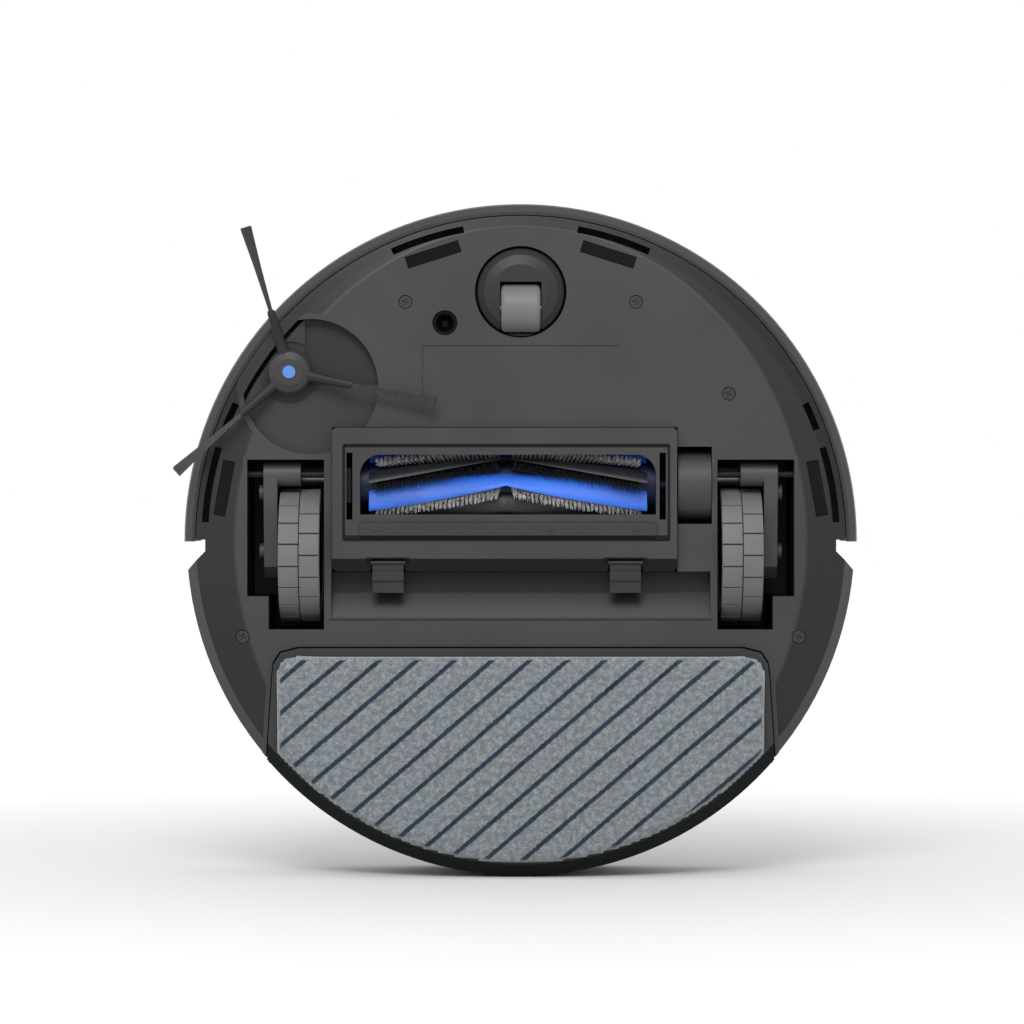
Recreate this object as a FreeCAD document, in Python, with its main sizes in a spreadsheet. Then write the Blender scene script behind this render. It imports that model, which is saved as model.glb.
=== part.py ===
"""Robot vacuum with a mop: a parametric assembly in millimetres.

Frame: the origin is on the floor under the centre of the round body, +Z is up,
the front (bumper) faces -Y and the side brush is on the -X side.
"""
import FreeCAD, Part
import math
import os
import Sketcher
from FreeCAD import Placement, Rotation, Vector
from types import SimpleNamespace

os.makedirs("parts", exist_ok=True)
doc = FreeCAD.newDocument("RobotVacuum")

# ---------------------------------------------------------------- dimensions
DIMENSIONS = {
    # round body
    "body_r": 173.7,          # rear body
    "bumper_proud": 1.1,      # bumper beyond the rear body
    "body_top": 80.0,         # top deck above the floor
    "belly": 10.0,            # flat underside above the floor
    "floor_t": 3.0,           # floor of the tray
    "wall": 2.6,              # side walls
    "deck_t": 3.4,            # top deck
    "split_z": 40.0,          # where the upper shell stands on the tray
    "flat_rx": 145.0,         # flat underside, half width
    "flat_ry": 162.0,         # flat underside, half length
    "bevel_in": 5.7,          # rear body to the outer edge of the shallow bevel
    "bevel_rise": 2.5,
    "wall_rise": 14.0,        # belly to the foot of the side wall
    "bumper_room": 13.7,      # rear body to the body behind the bumper
    "shoulder_y": 2.4,        # where the rear body steps out past the bumper
    "play": 0.4,              # gap round a piece that comes out
    "running": 0.05,          # gap round a turning shaft
    # bumper
    "bumper_wall": 3.0,
    "bumper_low": 14.0,
    "bumper_high": 72.0,
    "bumper_end_y": 0.6,
    "lip_w": 4.5,
    "flange_in": 5.1,         # rear body to the inner edge of the bottom flange
    "lens_low": 38.0,
    "lens_high": 56.0,
    # caster
    "caster_y": -128.5,
    "caster_rim": 2.2,        # cup beyond the wheel's furthest point
    "caster_trail": 8.3,
    "caster_wheel_r": 12.5,
    "caster_wheel_w": 20.4,
    "caster_pin_r": 1.5,
    # drive wheels and their swing arms
    "track_x": 114.5,         # middle of each drive wheel
    "wheel_y": 7.7,
    "wheel_r": 35.0,
    "wheel_w": 21.3,
    "tyre_t": 6.0,
    "lug_h": 1.8,
    "axle_r": 2.0,
    "pivot_ahead": 7.0,       # swing arm pin ahead of the tyre
    "pivot_z": 20.0,
    "arm_t": 7.0,             # gearbox plate beside the wheel
    "well_in": 101.6,
    "well_out": 141.4,
    # roller, its chamber and cover
    "roller_y": -28.5,
    "roller_low": 2.8,        # roller above the floor
    "roller_r": 20.0,
    "chamber_gap": 4.7,       # roller to the top of its chamber
    "duct_gap": 4.1,          # chamber to the bin above it
    "roller_core_r": 12.5,
    "roller_x0": -86.6,
    "roller_x1": 71.4,
    "roller_mid": -7.6,       # where the two halves of each V meet
    "shaft_r": 3.0,
    "cover_x0": -97.3,
    "cover_x1": 80.6,
    "cover_y0": -58.2,
    "cover_y1": 16.0,
    "cover_low": 5.4,
    "cover_t": 4.2,
    "window_x0": -82.9,
    "window_x1": 69.8,
    "window_y0": -44.3,
    "window_y1": -13.4,
    "gearbox_x1": 98.4,
    "gearbox_r": 19.6,
    # side brush
    "side_x": -119.5,
    "side_y": -86.9,
    "hub_r": 11.8,
    "sleeve_r": 33.0,
    "sweep_r": 78.0,          # brush tips from the hub's centre
    "pocket_x": -108.6,
    "pocket_y": -79.5,
    "pocket_r": 35.0,
    "pocket_depth": 4.5,
    # mop module
    "tank_front": 55.3,
    "tank_half": 131.3,
    "tank_top": 47.0,
    "tank_wall": 2.0,
    "plate_low": 4.6,
    "plate_t": 5.6,
    "pad_half": 126.2,
    "pad_front": 59.1,
    "pad_r": 167.0,
    "pad_t": 4.6,
    # top
    "lid_half": 78.0,
    "lid_front": -78.0,
    "lid_rear": 9.0,
    "hinge_y": 7.5,
    "hinge_drop": 1.8,
    "pin_r": 1.0,
    "turret_y": 78.0,
    "turret_r": 48.0,
    "turret_h": 13.6,
    "button_y": -118.0,
    "button_r": 8.0,
}

sheet = doc.addObject("Spreadsheet::Sheet", "Spec")
for row, (alias, millimetres) in enumerate(DIMENSIONS.items(), start=1):
    sheet.set(f"A{row}", alias)
    sheet.set(f"B{row}", str(millimetres))
    sheet.setAlias(f"B{row}", alias)
doc.recompute()


class Size:
    """A length that carries its value and its formula over the sheet."""

    def __init__(self, value, formula):
        self.value = float(value)
        self.formula = formula

    def __add__(self, other):
        return Size(self.value + number(other), f"({self.formula} + {text(other)})")

    def __radd__(self, other):
        return Size(number(other) + self.value, f"({text(other)} + {self.formula})")

    def __sub__(self, other):
        return Size(self.value - number(other), f"({self.formula} - ({text(other)}))")

    def __rsub__(self, other):
        return Size(number(other) - self.value, f"({text(other)} - {self.formula})")

    def __mul__(self, other):
        return Size(self.value * number(other), f"{self.formula} * ({text(other)})")

    def __rmul__(self, other):
        return self * other

    def __truediv__(self, other):
        return Size(self.value / number(other), f"{self.formula} / ({text(other)})")

    def __neg__(self):
        return Size(-self.value, f"(0 - {self.formula})")


def number(size):
    return size.value if isinstance(size, Size) else float(size)


def text(size):
    return size.formula if isinstance(size, Size) else repr(float(size))


def root(size):
    return Size(math.sqrt(number(size)), f"sqrt({text(size)})")


S = SimpleNamespace(**{alias: Size(sheet.get(alias), f"Spec.{alias}") for alias in DIMENSIONS})

# sizes that follow from others, so that the pieces still fit when one is changed
S.bumper_r = S.body_r + S.bumper_proud
S.bevel_r = S.body_r - S.bevel_in
S.core_r = S.body_r - S.bumper_room
S.flange_r = S.body_r - S.flange_in
S.caster_r = S.caster_trail + S.caster_wheel_r + S.caster_rim
S.caster_top = 2 * S.caster_wheel_r + 3
S.pivot_y = S.wheel_y - S.wheel_r - S.pivot_ahead
S.roller_z = S.roller_r + S.roller_low
S.chamber_top = S.roller_z + S.roller_r + S.chamber_gap
S.bin_low = S.chamber_top + S.duct_gap


# ------------------------------------------------------------------- helpers
ALONG = {
    "x": Rotation(Vector(0, 1, 0), 90),
    "y": Rotation(Vector(1, 0, 0), -90),
    "z": Rotation(),
}
NODES = []


def node(part, name):
    """Name a finished piece: its Label is the node and the file name."""
    part.Label = name
    NODES.append(part)
    return part


def bind(part, prop, size):
    part.setExpression(prop, text(size))


def bind_place(part, x, y, z):
    for axis, size in zip("xyz", (x, y, z)):
        bind(part, f"Placement.Base.{axis}", size)


def box(name, x, y, z):
    """A block between the (low, high) pairs along X, Y and Z."""
    part = doc.addObject("Part::Box", name)
    for prop, (low, high) in zip(("Length", "Width", "Height"), (x, y, z)):
        bind(part, prop, high - low)
    bind_place(part, x[0], y[0], z[0])
    return part


def rod(name, radius, start, length, along="z"):
    part = doc.addObject("Part::Cylinder", name)
    bind(part, "Radius", radius)
    bind(part, "Height", length)
    part.Placement = Placement(Vector(), ALONG[along])
    bind_place(part, *start)
    return part


def cone(name, radius, end_radius, start, length, along="z"):
    part = doc.addObject("Part::Cone", name)
    bind(part, "Radius1", radius)
    bind(part, "Radius2", end_radius)
    bind(part, "Height", length)
    part.Placement = Placement(Vector(), ALONG[along])
    bind_place(part, *start)
    return part


def slab(name, centre, long, wide, z, angle):
    """A flat block turned by an angle about its own centre."""
    part = doc.addObject("Part::Box", name)
    bind(part, "Length", long)
    bind(part, "Width", wide)
    bind(part, "Height", z[1] - z[0])
    turn = Rotation(Vector(0, 0, 1), angle)
    middle = turn.multVec(Vector(number(long) / 2, number(wide) / 2, 0))
    corner = Vector(number(centre[0]), number(centre[1]), number(z[0])) - middle
    part.Placement = Placement(corner, turn)
    return part


def ring_sector(name, inner, outer, start, end, z):
    """Part of a flat ring about the body's centre, between two angles."""
    pies = []
    for suffix, radius, grow in (("_out", outer, 0), ("_in", inner, 1)):
        pie = doc.addObject("Part::Cylinder", name + suffix)
        bind(pie, "Radius", radius)
        bind(pie, "Height", z[1] - z[0] + 2 * grow)
        pie.Angle = end - start + 2 * grow
        pie.Placement = Placement(Vector(), Rotation(Vector(0, 0, 1), start - grow))
        bind_place(pie, 0, 0, z[0] - grow)
        pies.append(pie)
    return cut(name, *pies)


def fuse(name, *parts):
    joined = doc.addObject("Part::MultiFuse", name)
    joined.Shapes = list(parts)
    return joined


def cut(name, base, *tools):
    piece = doc.addObject("Part::Cut", name)
    piece.Base = base
    piece.Tool = tools[0] if len(tools) == 1 else fuse(name + "_tools", *tools)
    return piece


def common(name, *parts):
    overlap = doc.addObject("Part::MultiCommon", name)
    overlap.Shapes = list(parts)
    return overlap


def group(name, *parts):
    """Separate solids that share one node."""
    together = doc.addObject("Part::Compound", name)
    together.Links = list(parts)
    return together


def outline_body(name, plane, corners):
    """A body with one closed, fully dimensioned sketch of straight sides."""
    body = doc.addObject("PartDesign::Body", name)
    sketch = body.newObject("Sketcher::SketchObject", name + "_outline")
    origin_plane = [part for part in body.Origin.OriginFeatures if part.Role == plane][0]
    sketch.AttachmentSupport = (origin_plane, "")
    sketch.MapMode = "FlatFace"
    points = [Vector(number(x), number(y), 0) for x, y in corners]
    count = len(points)
    for index in range(count):
        sketch.addGeometry(Part.LineSegment(points[index], points[(index + 1) % count]), False)
    for index in range(count):
        sketch.addConstraint(Sketcher.Constraint("Coincident", index, 2, (index + 1) % count, 1))
    for index, (x, y) in enumerate(corners):
        for kind, size in (("DistanceX", x), ("DistanceY", y)):
            made = sketch.addConstraint(Sketcher.Constraint(kind, -1, 1, index, 1, number(size)))
            sketch.setExpression(f"Constraints[{made}]", text(size))
    return body, sketch


def prism(name, corners, low, high, plane="XY_Plane"):
    """A sketched outline raised along its plane's normal."""
    body, sketch = outline_body(name, plane, corners)
    bind(sketch, "AttachmentOffset.Base.z", low)
    pad = body.newObject("PartDesign::Pad", name + "_pad")
    pad.Profile = sketch
    bind(pad, "Length", high - low)
    return body


def round_corners(body, radius, chosen=lambda edge: True):
    """Fillet the upright edges of a prism that pass the test."""
    doc.recompute()
    tip = body.Tip
    names = []
    for index, edge in enumerate(tip.Shape.Edges, start=1):
        ends = [vertex.Point for vertex in edge.Vertexes]
        upright = len(ends) == 2 and abs((ends[1] - ends[0]).normalize().z) > 0.99
        if upright and chosen(ends[0]):
            names.append(f"Edge{index}")
    fillet = body.newObject("PartDesign::Fillet", body.Name + "_corners")
    fillet.Base = (tip, names)
    bind(fillet, "Radius", radius)
    return body


def turned(name, profile, angle=360.0, facing=0.0, place=(0, 0, 0)):
    """A profile of (radius, height) points turned about Z, centred on one bearing."""
    body, sketch = outline_body(name, "XZ_Plane", profile)
    spin = body.newObject("PartDesign::Revolution", name + "_turn")
    spin.Profile = sketch
    spin.ReferenceAxis = (sketch, ["V_Axis"])
    spin.Angle = angle
    spin.Midplane = True
    body.Placement = Placement(Vector(), Rotation(Vector(0, 0, 1), facing))
    bind_place(body, *place)
    return body


def turned_x(name, profile, place):
    """A profile of (radius, offset) points turned about an axis along X."""
    body = turned(name, profile)
    body.Placement = Placement(Vector(), ALONG["x"])
    bind_place(body, *place)
    return body


def feature(name, shape):
    part = doc.addObject("Part::Feature", name)
    part.Shape = shape
    part.Placement = Placement()
    return part


def tapered_bar(sections):
    """A solid through flat rectangles: (centre, across, up, width, height) each."""
    wires = []
    for centre, across, up, width, height in sections:
        half_w = across * (width / 2)
        half_h = up * (height / 2)
        corners = [centre - half_w - half_h, centre + half_w - half_h,
                   centre + half_w + half_h, centre - half_w + half_h]
        wires.append(Part.makePolygon(corners + corners[:1]))
    return Part.makeLoft(wires, True, True)


def coil(radius, wire_r, length, turns):
    """A coil spring along Z from the origin."""
    path = Part.makeHelix(length / turns, length, radius)
    section = Part.Wire(Part.makeCircle(wire_r, Vector(radius, 0, 0), Vector(0, 1, 0)))
    return Part.Wire(path.Edges).makePipeShell([section], True, True)


def mirrored(side):
    """(name suffix, sign of X) of each side."""
    return {"left": -1, "right": 1}[side]


# ------------------------------------------------------- shared cutting tools
inner_floor = S.belly + S.floor_t
flange_gap = S.bumper_low - 0.3
deck_low = S.body_top - S.deck_t
side_rim = S.belly + S.wall_rise
FAR = 260.0


def front_sector(name, low, high, back=0.0):
    """Everything in front of the slanted shoulders where the bumper ends."""
    shoulder = S.shoulder_y - back
    reach = FAR - S.core_r
    corners = [(-FAR, -FAR), (FAR, -FAR), (FAR, shoulder + reach), (S.core_r + 4, shoulder + 4),
               (S.core_r, shoulder), (-S.core_r, shoulder), (-S.core_r - 4, shoulder + 4),
               (-FAR, shoulder + reach)]
    return prism(name, corners, low, high)


def bumper_space(name, low, high, keep_r):
    """The space outside the core that the bumper needs."""
    sector = front_sector(name + "_sector", low, high)
    core = rod(name + "_core", keep_r, (0, 0, low - 1), high - low + 2)
    return cut(name, sector, core)


def side_notches(name, low, high):
    """The open notches between the ends of the bumper and the rear body."""
    inside = S.core_r + 3.2
    front = S.bumper_end_y - 1
    corners = [(inside, front), (FAR, front), (FAR, S.shoulder_y + FAR - S.core_r),
               (inside, S.shoulder_y + 3.2)]
    return [prism(f"{name}_{side}", [(sign * x, y) for x, y in corners], low, high)
            for side, sign in (("left", -1), ("right", 1))]


def tank_outline(grow):
    """Plan of the mop module: it widens towards the rear, so it slides out."""
    half = S.tank_half + grow
    front = S.tank_front - grow
    side = [(half - 16.5, front), (half - 7.2, front + 2.4), (half - 3.6, front + 8),
            (half - 2.8, front + 14.5), (half, front + 58), (half, S.body_r + 26)]
    other = [(-x, y) for x, y in reversed(side)]
    return side + other


# ---------------------------------------------------------------- base chassis
def well_blocks(name, sign, grow, low, high):
    """The L-shaped space round a drive wheel, grown by a wall thickness."""
    inner = S.well_in - grow
    outer = S.well_out + grow
    front = S.pivot_y - 7.5 - grow
    swing = root((S.wheel_y - S.pivot_y) * (S.wheel_y - S.pivot_y)
                 + (S.wheel_r - S.pivot_z) * (S.wheel_r - S.pivot_z))
    rear = S.pivot_y + swing + S.wheel_r + 0.8 + grow
    wheel_side = S.track_x + S.wheel_w / 2 + 5.2 + grow
    spans = []
    for suffix, far_x, far_y in (("_wide", outer, S.wheel_y + 21.2 + grow), ("_long", wheel_side, rear)):
        x = (inner, far_x) if sign > 0 else (-far_x, -inner)
        spans.append(box(name + suffix, x, (front, far_y), (low, high)))
    return spans


def base_chassis():
    belly = S.belly
    flat = doc.addObject("Part::Ellipse", "flat_edge")
    bind(flat, "MajorRadius", S.flat_ry)
    bind(flat, "MinorRadius", S.flat_rx)
    ring = doc.addObject("Part::Circle", "bevel_edge")
    bind(ring, "Radius", S.bevel_r)
    for wire, height in ((flat, belly), (ring, belly + S.bevel_rise)):
        wire.Placement = Placement(Vector(), Rotation(Vector(0, 0, 1), 90))
        bind_place(wire, 0, 0, height)
    bevel = doc.addObject("Part::Loft", "shallow_bevel")
    bevel.Sections = [flat, ring]
    bevel.Solid = True
    bevel.Ruled = True
    steep = cone("steep_bevel", S.bevel_r, S.body_r, (0, 0, belly + S.bevel_rise),
                 side_rim - belly - S.bevel_rise)
    rim = rod("rim", S.body_r, (0, 0, side_rim), S.split_z - side_rim)
    outer = fuse("tray_outer", bevel, steep, rim)

    top = S.split_z + 1
    low_space = rod("low_space", S.flat_rx - 4, (0, 0, inner_floor), top - inner_floor)
    wide_low = inner_floor + S.bevel_rise + 1
    wide_space = rod("wide_space", S.core_r - S.wall, (0, 0, wide_low), top - wide_low)
    rear_low = side_rim + S.wall
    rear_disc = rod("rear_disc", S.body_r - S.wall, (0, 0, rear_low), top - rear_low)
    rear_space = cut("rear_space", rear_disc, front_sector("rear_sector", rear_low - 1, top + 1, -3.5))
    hollow = cut("tray_hollow", outer, low_space, wide_space, rear_space)

    # what stands on the floor of the tray
    well_high = 2 * S.wheel_r + 2
    walls = well_blocks("well_l", -1, 2, belly, well_high + 2)
    walls += well_blocks("well_r", 1, 2, belly, well_high + 2)
    socket = rod("caster_socket", S.caster_r + 3, (0, S.caster_y, belly),
                 S.caster_top + 6 - belly)
    boss = rod("pocket_boss", S.pocket_r + 3, (S.pocket_x, S.pocket_y, belly), 10)
    pocket_boss = common("pocket_boss_inside", boss, rod("pocket_bound", S.bevel_r, (0, 0, belly), 30))
    beam = box("cross_beam", (-99, 99), (S.cover_y1 - 1, S.tank_front - 1), (belly, belly + 14))
    bay_block = prism("bay_walls", tank_outline(2.5), belly, S.split_z)
    bay_walls = common("bay_walls_inside", bay_block,
                       rod("bay_bound", S.body_r - 1, (0, 0, belly), S.split_z - belly))
    screw_bosses = [rod(f"screw_boss_{n}", 6, (x, y, belly + 2), 12) for n, (x, y) in enumerate(SCREWS)]
    board_posts = [rod(f"board_post_{n}", 3, (x, y, belly + 1), BOARD_Z - belly - 1)
                   for n, (x, y) in enumerate(BOARD_POSTS)]
    ribbed = fuse("tray_ribbed", hollow, *walls, socket, pocket_boss, beam, bay_walls, *screw_bosses,
                  *board_posts)

    # openings and recesses of the underside
    low = belly - 1
    space = bumper_space("bumper_space", flange_gap, well_high + 5, S.core_r)
    edge_space = bumper_space("edge_space", low - 2, flange_gap, S.bevel_r)
    wells = well_blocks("wheel_l", -1, 0, low, well_high) + well_blocks("wheel_r", 1, 0, low, well_high)
    bay = prism("tank_bay", tank_outline(S.play), low - 2, S.split_z + 12)
    caster_bore = rod("caster_bore", S.caster_r + 0.7, (0, S.caster_y, low), S.caster_top + 3.5 - low)
    stem_bore = rod("stem_bore", 3 + S.running, (0, S.caster_y, low), 40)
    pocket_reach = rod("pocket_reach", S.core_r + 2, (0, 0, low), S.pocket_depth + 6)
    pocket_round = rod("pocket_round", S.pocket_r, (S.pocket_x, S.pocket_y, low), S.pocket_depth + 1)
    deep_round = rod("pocket_deep_round", S.pocket_r, (S.pocket_x, S.pocket_y, low), S.pocket_depth + 3.2)
    deep_side = box("pocket_deep_side", (S.pocket_x - 3, S.pocket_x + S.pocket_r),
                    (S.pocket_y - S.pocket_r, S.pocket_y - 1), (low, low + S.pocket_depth + 3.2))
    pocket_deep = common("pocket_deep", deep_round, deep_side)
    step = rod("pocket_step", 16, (S.side_x, S.side_y, low), S.pocket_depth + 2)
    pocket = common("pocket", fuse("pocket_tool", pocket_round, pocket_deep, step), pocket_reach)
    shaft = rod("pocket_shaft", 4, (S.side_x, S.side_y, low), 30)
    cover_hole = box("cover_hole", (S.cover_x0 - S.play, S.cover_x1 + S.play),
                     (S.cover_y0 - S.play, S.cover_y1 + S.play), (low, belly + 20))
    gearbox_hole = box("gearbox_hole", (S.cover_x1, S.gearbox_x1 + S.play),
                       (S.roller_y - S.gearbox_r - S.play, S.roller_y + S.gearbox_r + S.play),
                       (low, belly + 20))
    groove_y = S.cover_y1 + 11
    groove = prism("rear_groove", [(S.cover_y1, low), (S.cover_y1, belly + 9), (groove_y, belly + 9),
                                   (groove_y + 12.7, belly + 2), (groove_y + 12.7, low)], -98, 98,
                                   "YZ_Plane")
    ridge = box("ridge_line", (-99, 99), (groove_y + 13.6, groove_y + 14.4), (low, belly + 0.8))
    carpet = rod("carpet_hole", 6.5, (-39.2, -112.5, low), 6)
    notches = side_notches("tray_notch", low, well_high + 5)
    tools = [space, edge_space, *notches, *wells, bay, caster_bore, stem_bore, pocket,
             shaft, cover_hole, gearbox_hole, groove, ridge, carpet]
    for n, (x, y) in enumerate(SCREWS):
        tools.append(rod(f"screw_recess_{n}", 3.6, (x, y, low), 3.4))
        tools.append(rod(f"screw_bore_{n}", 1.55, (x, y, low), 14))
    for n, (x, y, angle, base) in enumerate(WINDOWS):
        tools.append(slab(f"window_recess_{n}", (x, y), 29, 6.4, (low, belly + base + 1.6), angle))
    for n, (start, end) in enumerate(RIM_SLOTS):
        for sign in (-1, 1):
            first, last = sorted((-90 + sign * start, -90 + sign * end))
            tools.append(ring_sector(f"rim_slot_{n}_{sign + 1}", S.bevel_r - 6.4, S.bevel_r - 2.8,
                                     first, last,
                                     (low, flange_gap + 1)))
    for n, (x, y) in enumerate((((-50.8, 50.3), (-100.9, -100.3)), ((-51.1, -50.5), (-100.9, -66)))):
        tools.append(box(f"label_groove_{n}", x, y, (low, belly + 0.5)))
    for sign in (-1, 1):
        start = S.well_in - 2 if sign > 0 else -S.well_out - 2
        tools.append(rod(f"swing_pin_bore_{sign + 1}", S.axle_r, (start, S.pivot_y, S.pivot_z),
                         S.well_out - S.well_in + 4, "x"))
    node(cut("base_chassis", ribbed, *tools), "base_chassis")


SCREWS = [(-59.6, -123.3), (59.6, -123.3), (107.6, -75.9), (-143.7, 49.8), (143.7, 49.8)]
BOARD_Z = 42.0
BOARD_POSTS = [(-66, -82), (66, -82), (-66, -132), (66, -132)]
# centre X, Y, bearing of the long side, height of the skin above the belly
WINDOWS = [(-45.3, -147.8, 162.4, 0.0), (45.3, -147.8, 17.6, 0.0),
           (-153.3, -27, 100.3, 1.5), (153.3, -27, 79.7, 1.5)]
# degrees away from the front, on both sides
RIM_SLOTS = [(10.4, 24), (64.3, 69.5), (72.9, 86.7)]
base_chassis()


# ---------------------------------------------------------------- upper shell
def upper_shell():
    outer = turned("shell_outer", [(0, S.split_z), (S.body_r, S.split_z), (S.body_r, S.body_top - 6),
                                   (S.body_r - 1.8, S.body_top - 1.8), (S.body_r - 6, S.body_top),
                                   (0, S.body_top)])
    core_space = rod("shell_core_space", S.core_r - S.wall, (0, 0, S.split_z - 1), deck_low - S.split_z + 1)
    rear_disc = rod("shell_rear_disc", S.body_r - S.wall, (0, 0, S.split_z - 1), deck_low - S.split_z + 1)
    rear_space = cut("shell_rear_space", rear_disc,
                     front_sector("shell_rear_sector", S.split_z - 2, S.body_top + 1, -3.5))
    hollow = cut("shell_hollow", outer, core_space, rear_space)
    bin_well = box("bin_well", (-74, 74), (-76, 6.6), (S.bin_low - 3, deck_low + 1))
    flange = box("bin_flange", (-S.lid_half - 4, S.lid_half + 4), (S.lid_front - 4, S.lid_rear + 5),
                 (deck_low - 2, deck_low + 1))
    turret_seat = rod("turret_seat", S.turret_r + 4, (0, S.turret_y, deck_low - 12), 13)
    filled = fuse("shell_filled", hollow, bin_well, flange, turret_seat)
    lid_hole = box("lid_hole", (-S.lid_half - S.play, S.lid_half + S.play),
                   (S.lid_front - S.play, S.lid_rear + 1.4), (deck_low, S.body_top + 1))
    bin_hole = box("bin_hole", (-72, 72), (-74, 4.6), (S.bin_low - 0.5, S.body_top))
    inlet = box("bin_inlet", (-40, 40), (-22, -4), (S.bin_low - 5, S.bin_low + 1))
    outlet = box("bin_outlet", (-45, -15), (0, 10), (S.bin_low + 2, S.bin_low + 10))
    trough = box("hinge_trough", (-S.lid_half - S.play, S.lid_half + S.play),
                 (S.hinge_y - 3, S.lid_rear + 1.4), (deck_low - 0.7, S.body_top))
    finger = rod("finger_notch", 14, (0, S.lid_front - 1, S.body_top - 2), 10)
    turret_bore = rod("turret_bore", S.turret_r - 3, (0, S.turret_y, deck_low - 10), 30)
    pin_z = S.body_top - S.hinge_drop
    pins = rod("lid_pin_bore", S.pin_r + S.running, (-S.lid_half - 5, S.hinge_y, pin_z),
               2 * S.lid_half + 10, "x")
    bay = prism("shell_bay", tank_outline(S.play), S.split_z - 2, S.tank_top + S.play)
    clear_z = S.bumper_high + 0.6
    space = bumper_space("shell_bumper_space", S.split_z - 2, clear_z, S.core_r)
    button = rod("button_bore", S.button_r + 0.3, (0, S.button_y, deck_low - 2), 8)
    wells = well_blocks("shell_well_l", -1, 2, S.split_z - 2, 2 * S.wheel_r + 4)
    wells += well_blocks("shell_well_r", 1, 2, S.split_z - 2, 2 * S.wheel_r + 4)
    vents = [slab(f"vent_{n}",
                  (-(S.body_r - 1) * math.sin(math.radians(a)), (S.body_r - 1) * math.cos(math.radians(a))),
                  12, 1.6, (S.split_z + 14, S.split_z + 28), a + 90)
             for n, a in enumerate(range(30, 66, 3))]
    notches = side_notches("deck_notch", S.split_z - 2, S.body_top + 1)
    node(cut("upper_shell", filled, lid_hole, trough, bin_hole, inlet, outlet, finger, turret_bore,
             pins, bay, space, button, *notches, *wells, *vents), "upper_shell")


upper_shell()


# ---------------------------------------------------------------- bumper
def bumper():
    angle = 180 + 2 * math.degrees(math.asin(S.bumper_end_y.value / S.bumper_r.value))
    low = S.bumper_low
    inner = S.bumper_r - S.bumper_wall
    profile = [(S.flange_r, low), (S.bumper_r - S.lip_w, low), (S.bumper_r - 1, low + 5),
               (S.bumper_r, low + 9),
               (S.bumper_r, S.bumper_high - 10), (S.bumper_r - 2, S.bumper_high),
               (inner - 2, S.bumper_high),
               (inner, S.bumper_high - 10), (inner, low + 9), (inner - 2, low + 2), (S.flange_r, low + 2)]
    skin = turned("bumper_skin", profile, angle, -90)
    lens_z = (S.lens_low - 0.1, S.lens_high + 0.1)
    lens_hole = ring_sector("lens_hole", inner - 1, S.bumper_r + 1, -150.1, -29.9, lens_z)
    node(cut("bumper_cut", skin, lens_hole), "bumper_shell")
    lens = ring_sector("lens", inner + 0.4, S.bumper_r - 0.1, -150.1, -29.9, lens_z)
    node(lens, "bumper_lens")
    springs = []
    switches = []
    gap = inner - S.core_r
    for side in (-1, 1):
        turn = Rotation(Vector(0, 0, 1), -90 + side * 35)
        spring = feature(f"bumper_spring_{side + 1}", coil(2.4, 0.35, gap.value - 2, 6))
        spring.Placement = Placement(turn.multVec(Vector(S.core_r.value + 0.7, 0, 30)), turn * ALONG["x"])
        springs.append(spring)
        switches.append(slab(f"bumper_switch_{side + 1}", turn_point(S.core_r + 5.0, -90 + side * 50),
                             8.6, 12, (24, 33), -90 + side * 50))
    node(group("spring_pair", *springs), "bumper_springs")
    node(group("switch_pair", *switches), "bumper_switches")


def turn_point(radius, angle):
    return (number(radius) * math.cos(math.radians(angle)), number(radius) * math.sin(math.radians(angle)))


bumper()


# ---------------------------------------------------------------- caster
def caster():
    y = S.caster_y
    axle_y = y + S.caster_trail
    wheel_z = S.caster_wheel_r
    r = S.caster_r
    dome = turned("caster_dome",
                  [(0, 5.5), (r - 9, 5.5), (r - 4, 7), (r - 1, 10), (r, 13), (r, S.caster_top),
                   (0, S.caster_top)],
                  place=(0, y, 0))
    stem = rod("caster_stem", 3, (0, y, S.caster_top - 1), 5)
    half = S.caster_wheel_w / 2 + 0.5
    slot_y = (axle_y - S.caster_wheel_r - 0.8, axle_y + S.caster_wheel_r + 4)
    slot = box("caster_slot", (-half, half), slot_y, (0, wheel_z))
    arch = rod("caster_arch", S.caster_wheel_r + 0.8, (-half, axle_y, wheel_z), 2 * half, "x")
    pin_bore = rod("caster_pin_bore", S.caster_pin_r + S.running, (-14, axle_y, wheel_z), 28, "x")
    node(cut("caster_cup", fuse("caster_body", dome, stem), slot, arch, pin_bore), "caster_cup")
    node(rod("caster_axle", S.caster_pin_r, (-13, axle_y, wheel_z), 26, "x"), "caster_axle")
    w = S.caster_wheel_w
    bore = S.caster_pin_r + S.running
    wheel = turned_x("caster_roller",
                     [(bore, 0), (wheel_z - 2, 0), (wheel_z - 0.6, 0.6), (wheel_z, 2), (wheel_z, w - 2),
                                       (wheel_z - 0.6, w - 0.6), (wheel_z - 2, w), (bore, w)],
                     (-w / 2, axle_y, wheel_z))
    node(wheel, "caster_wheel")


caster()


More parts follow.
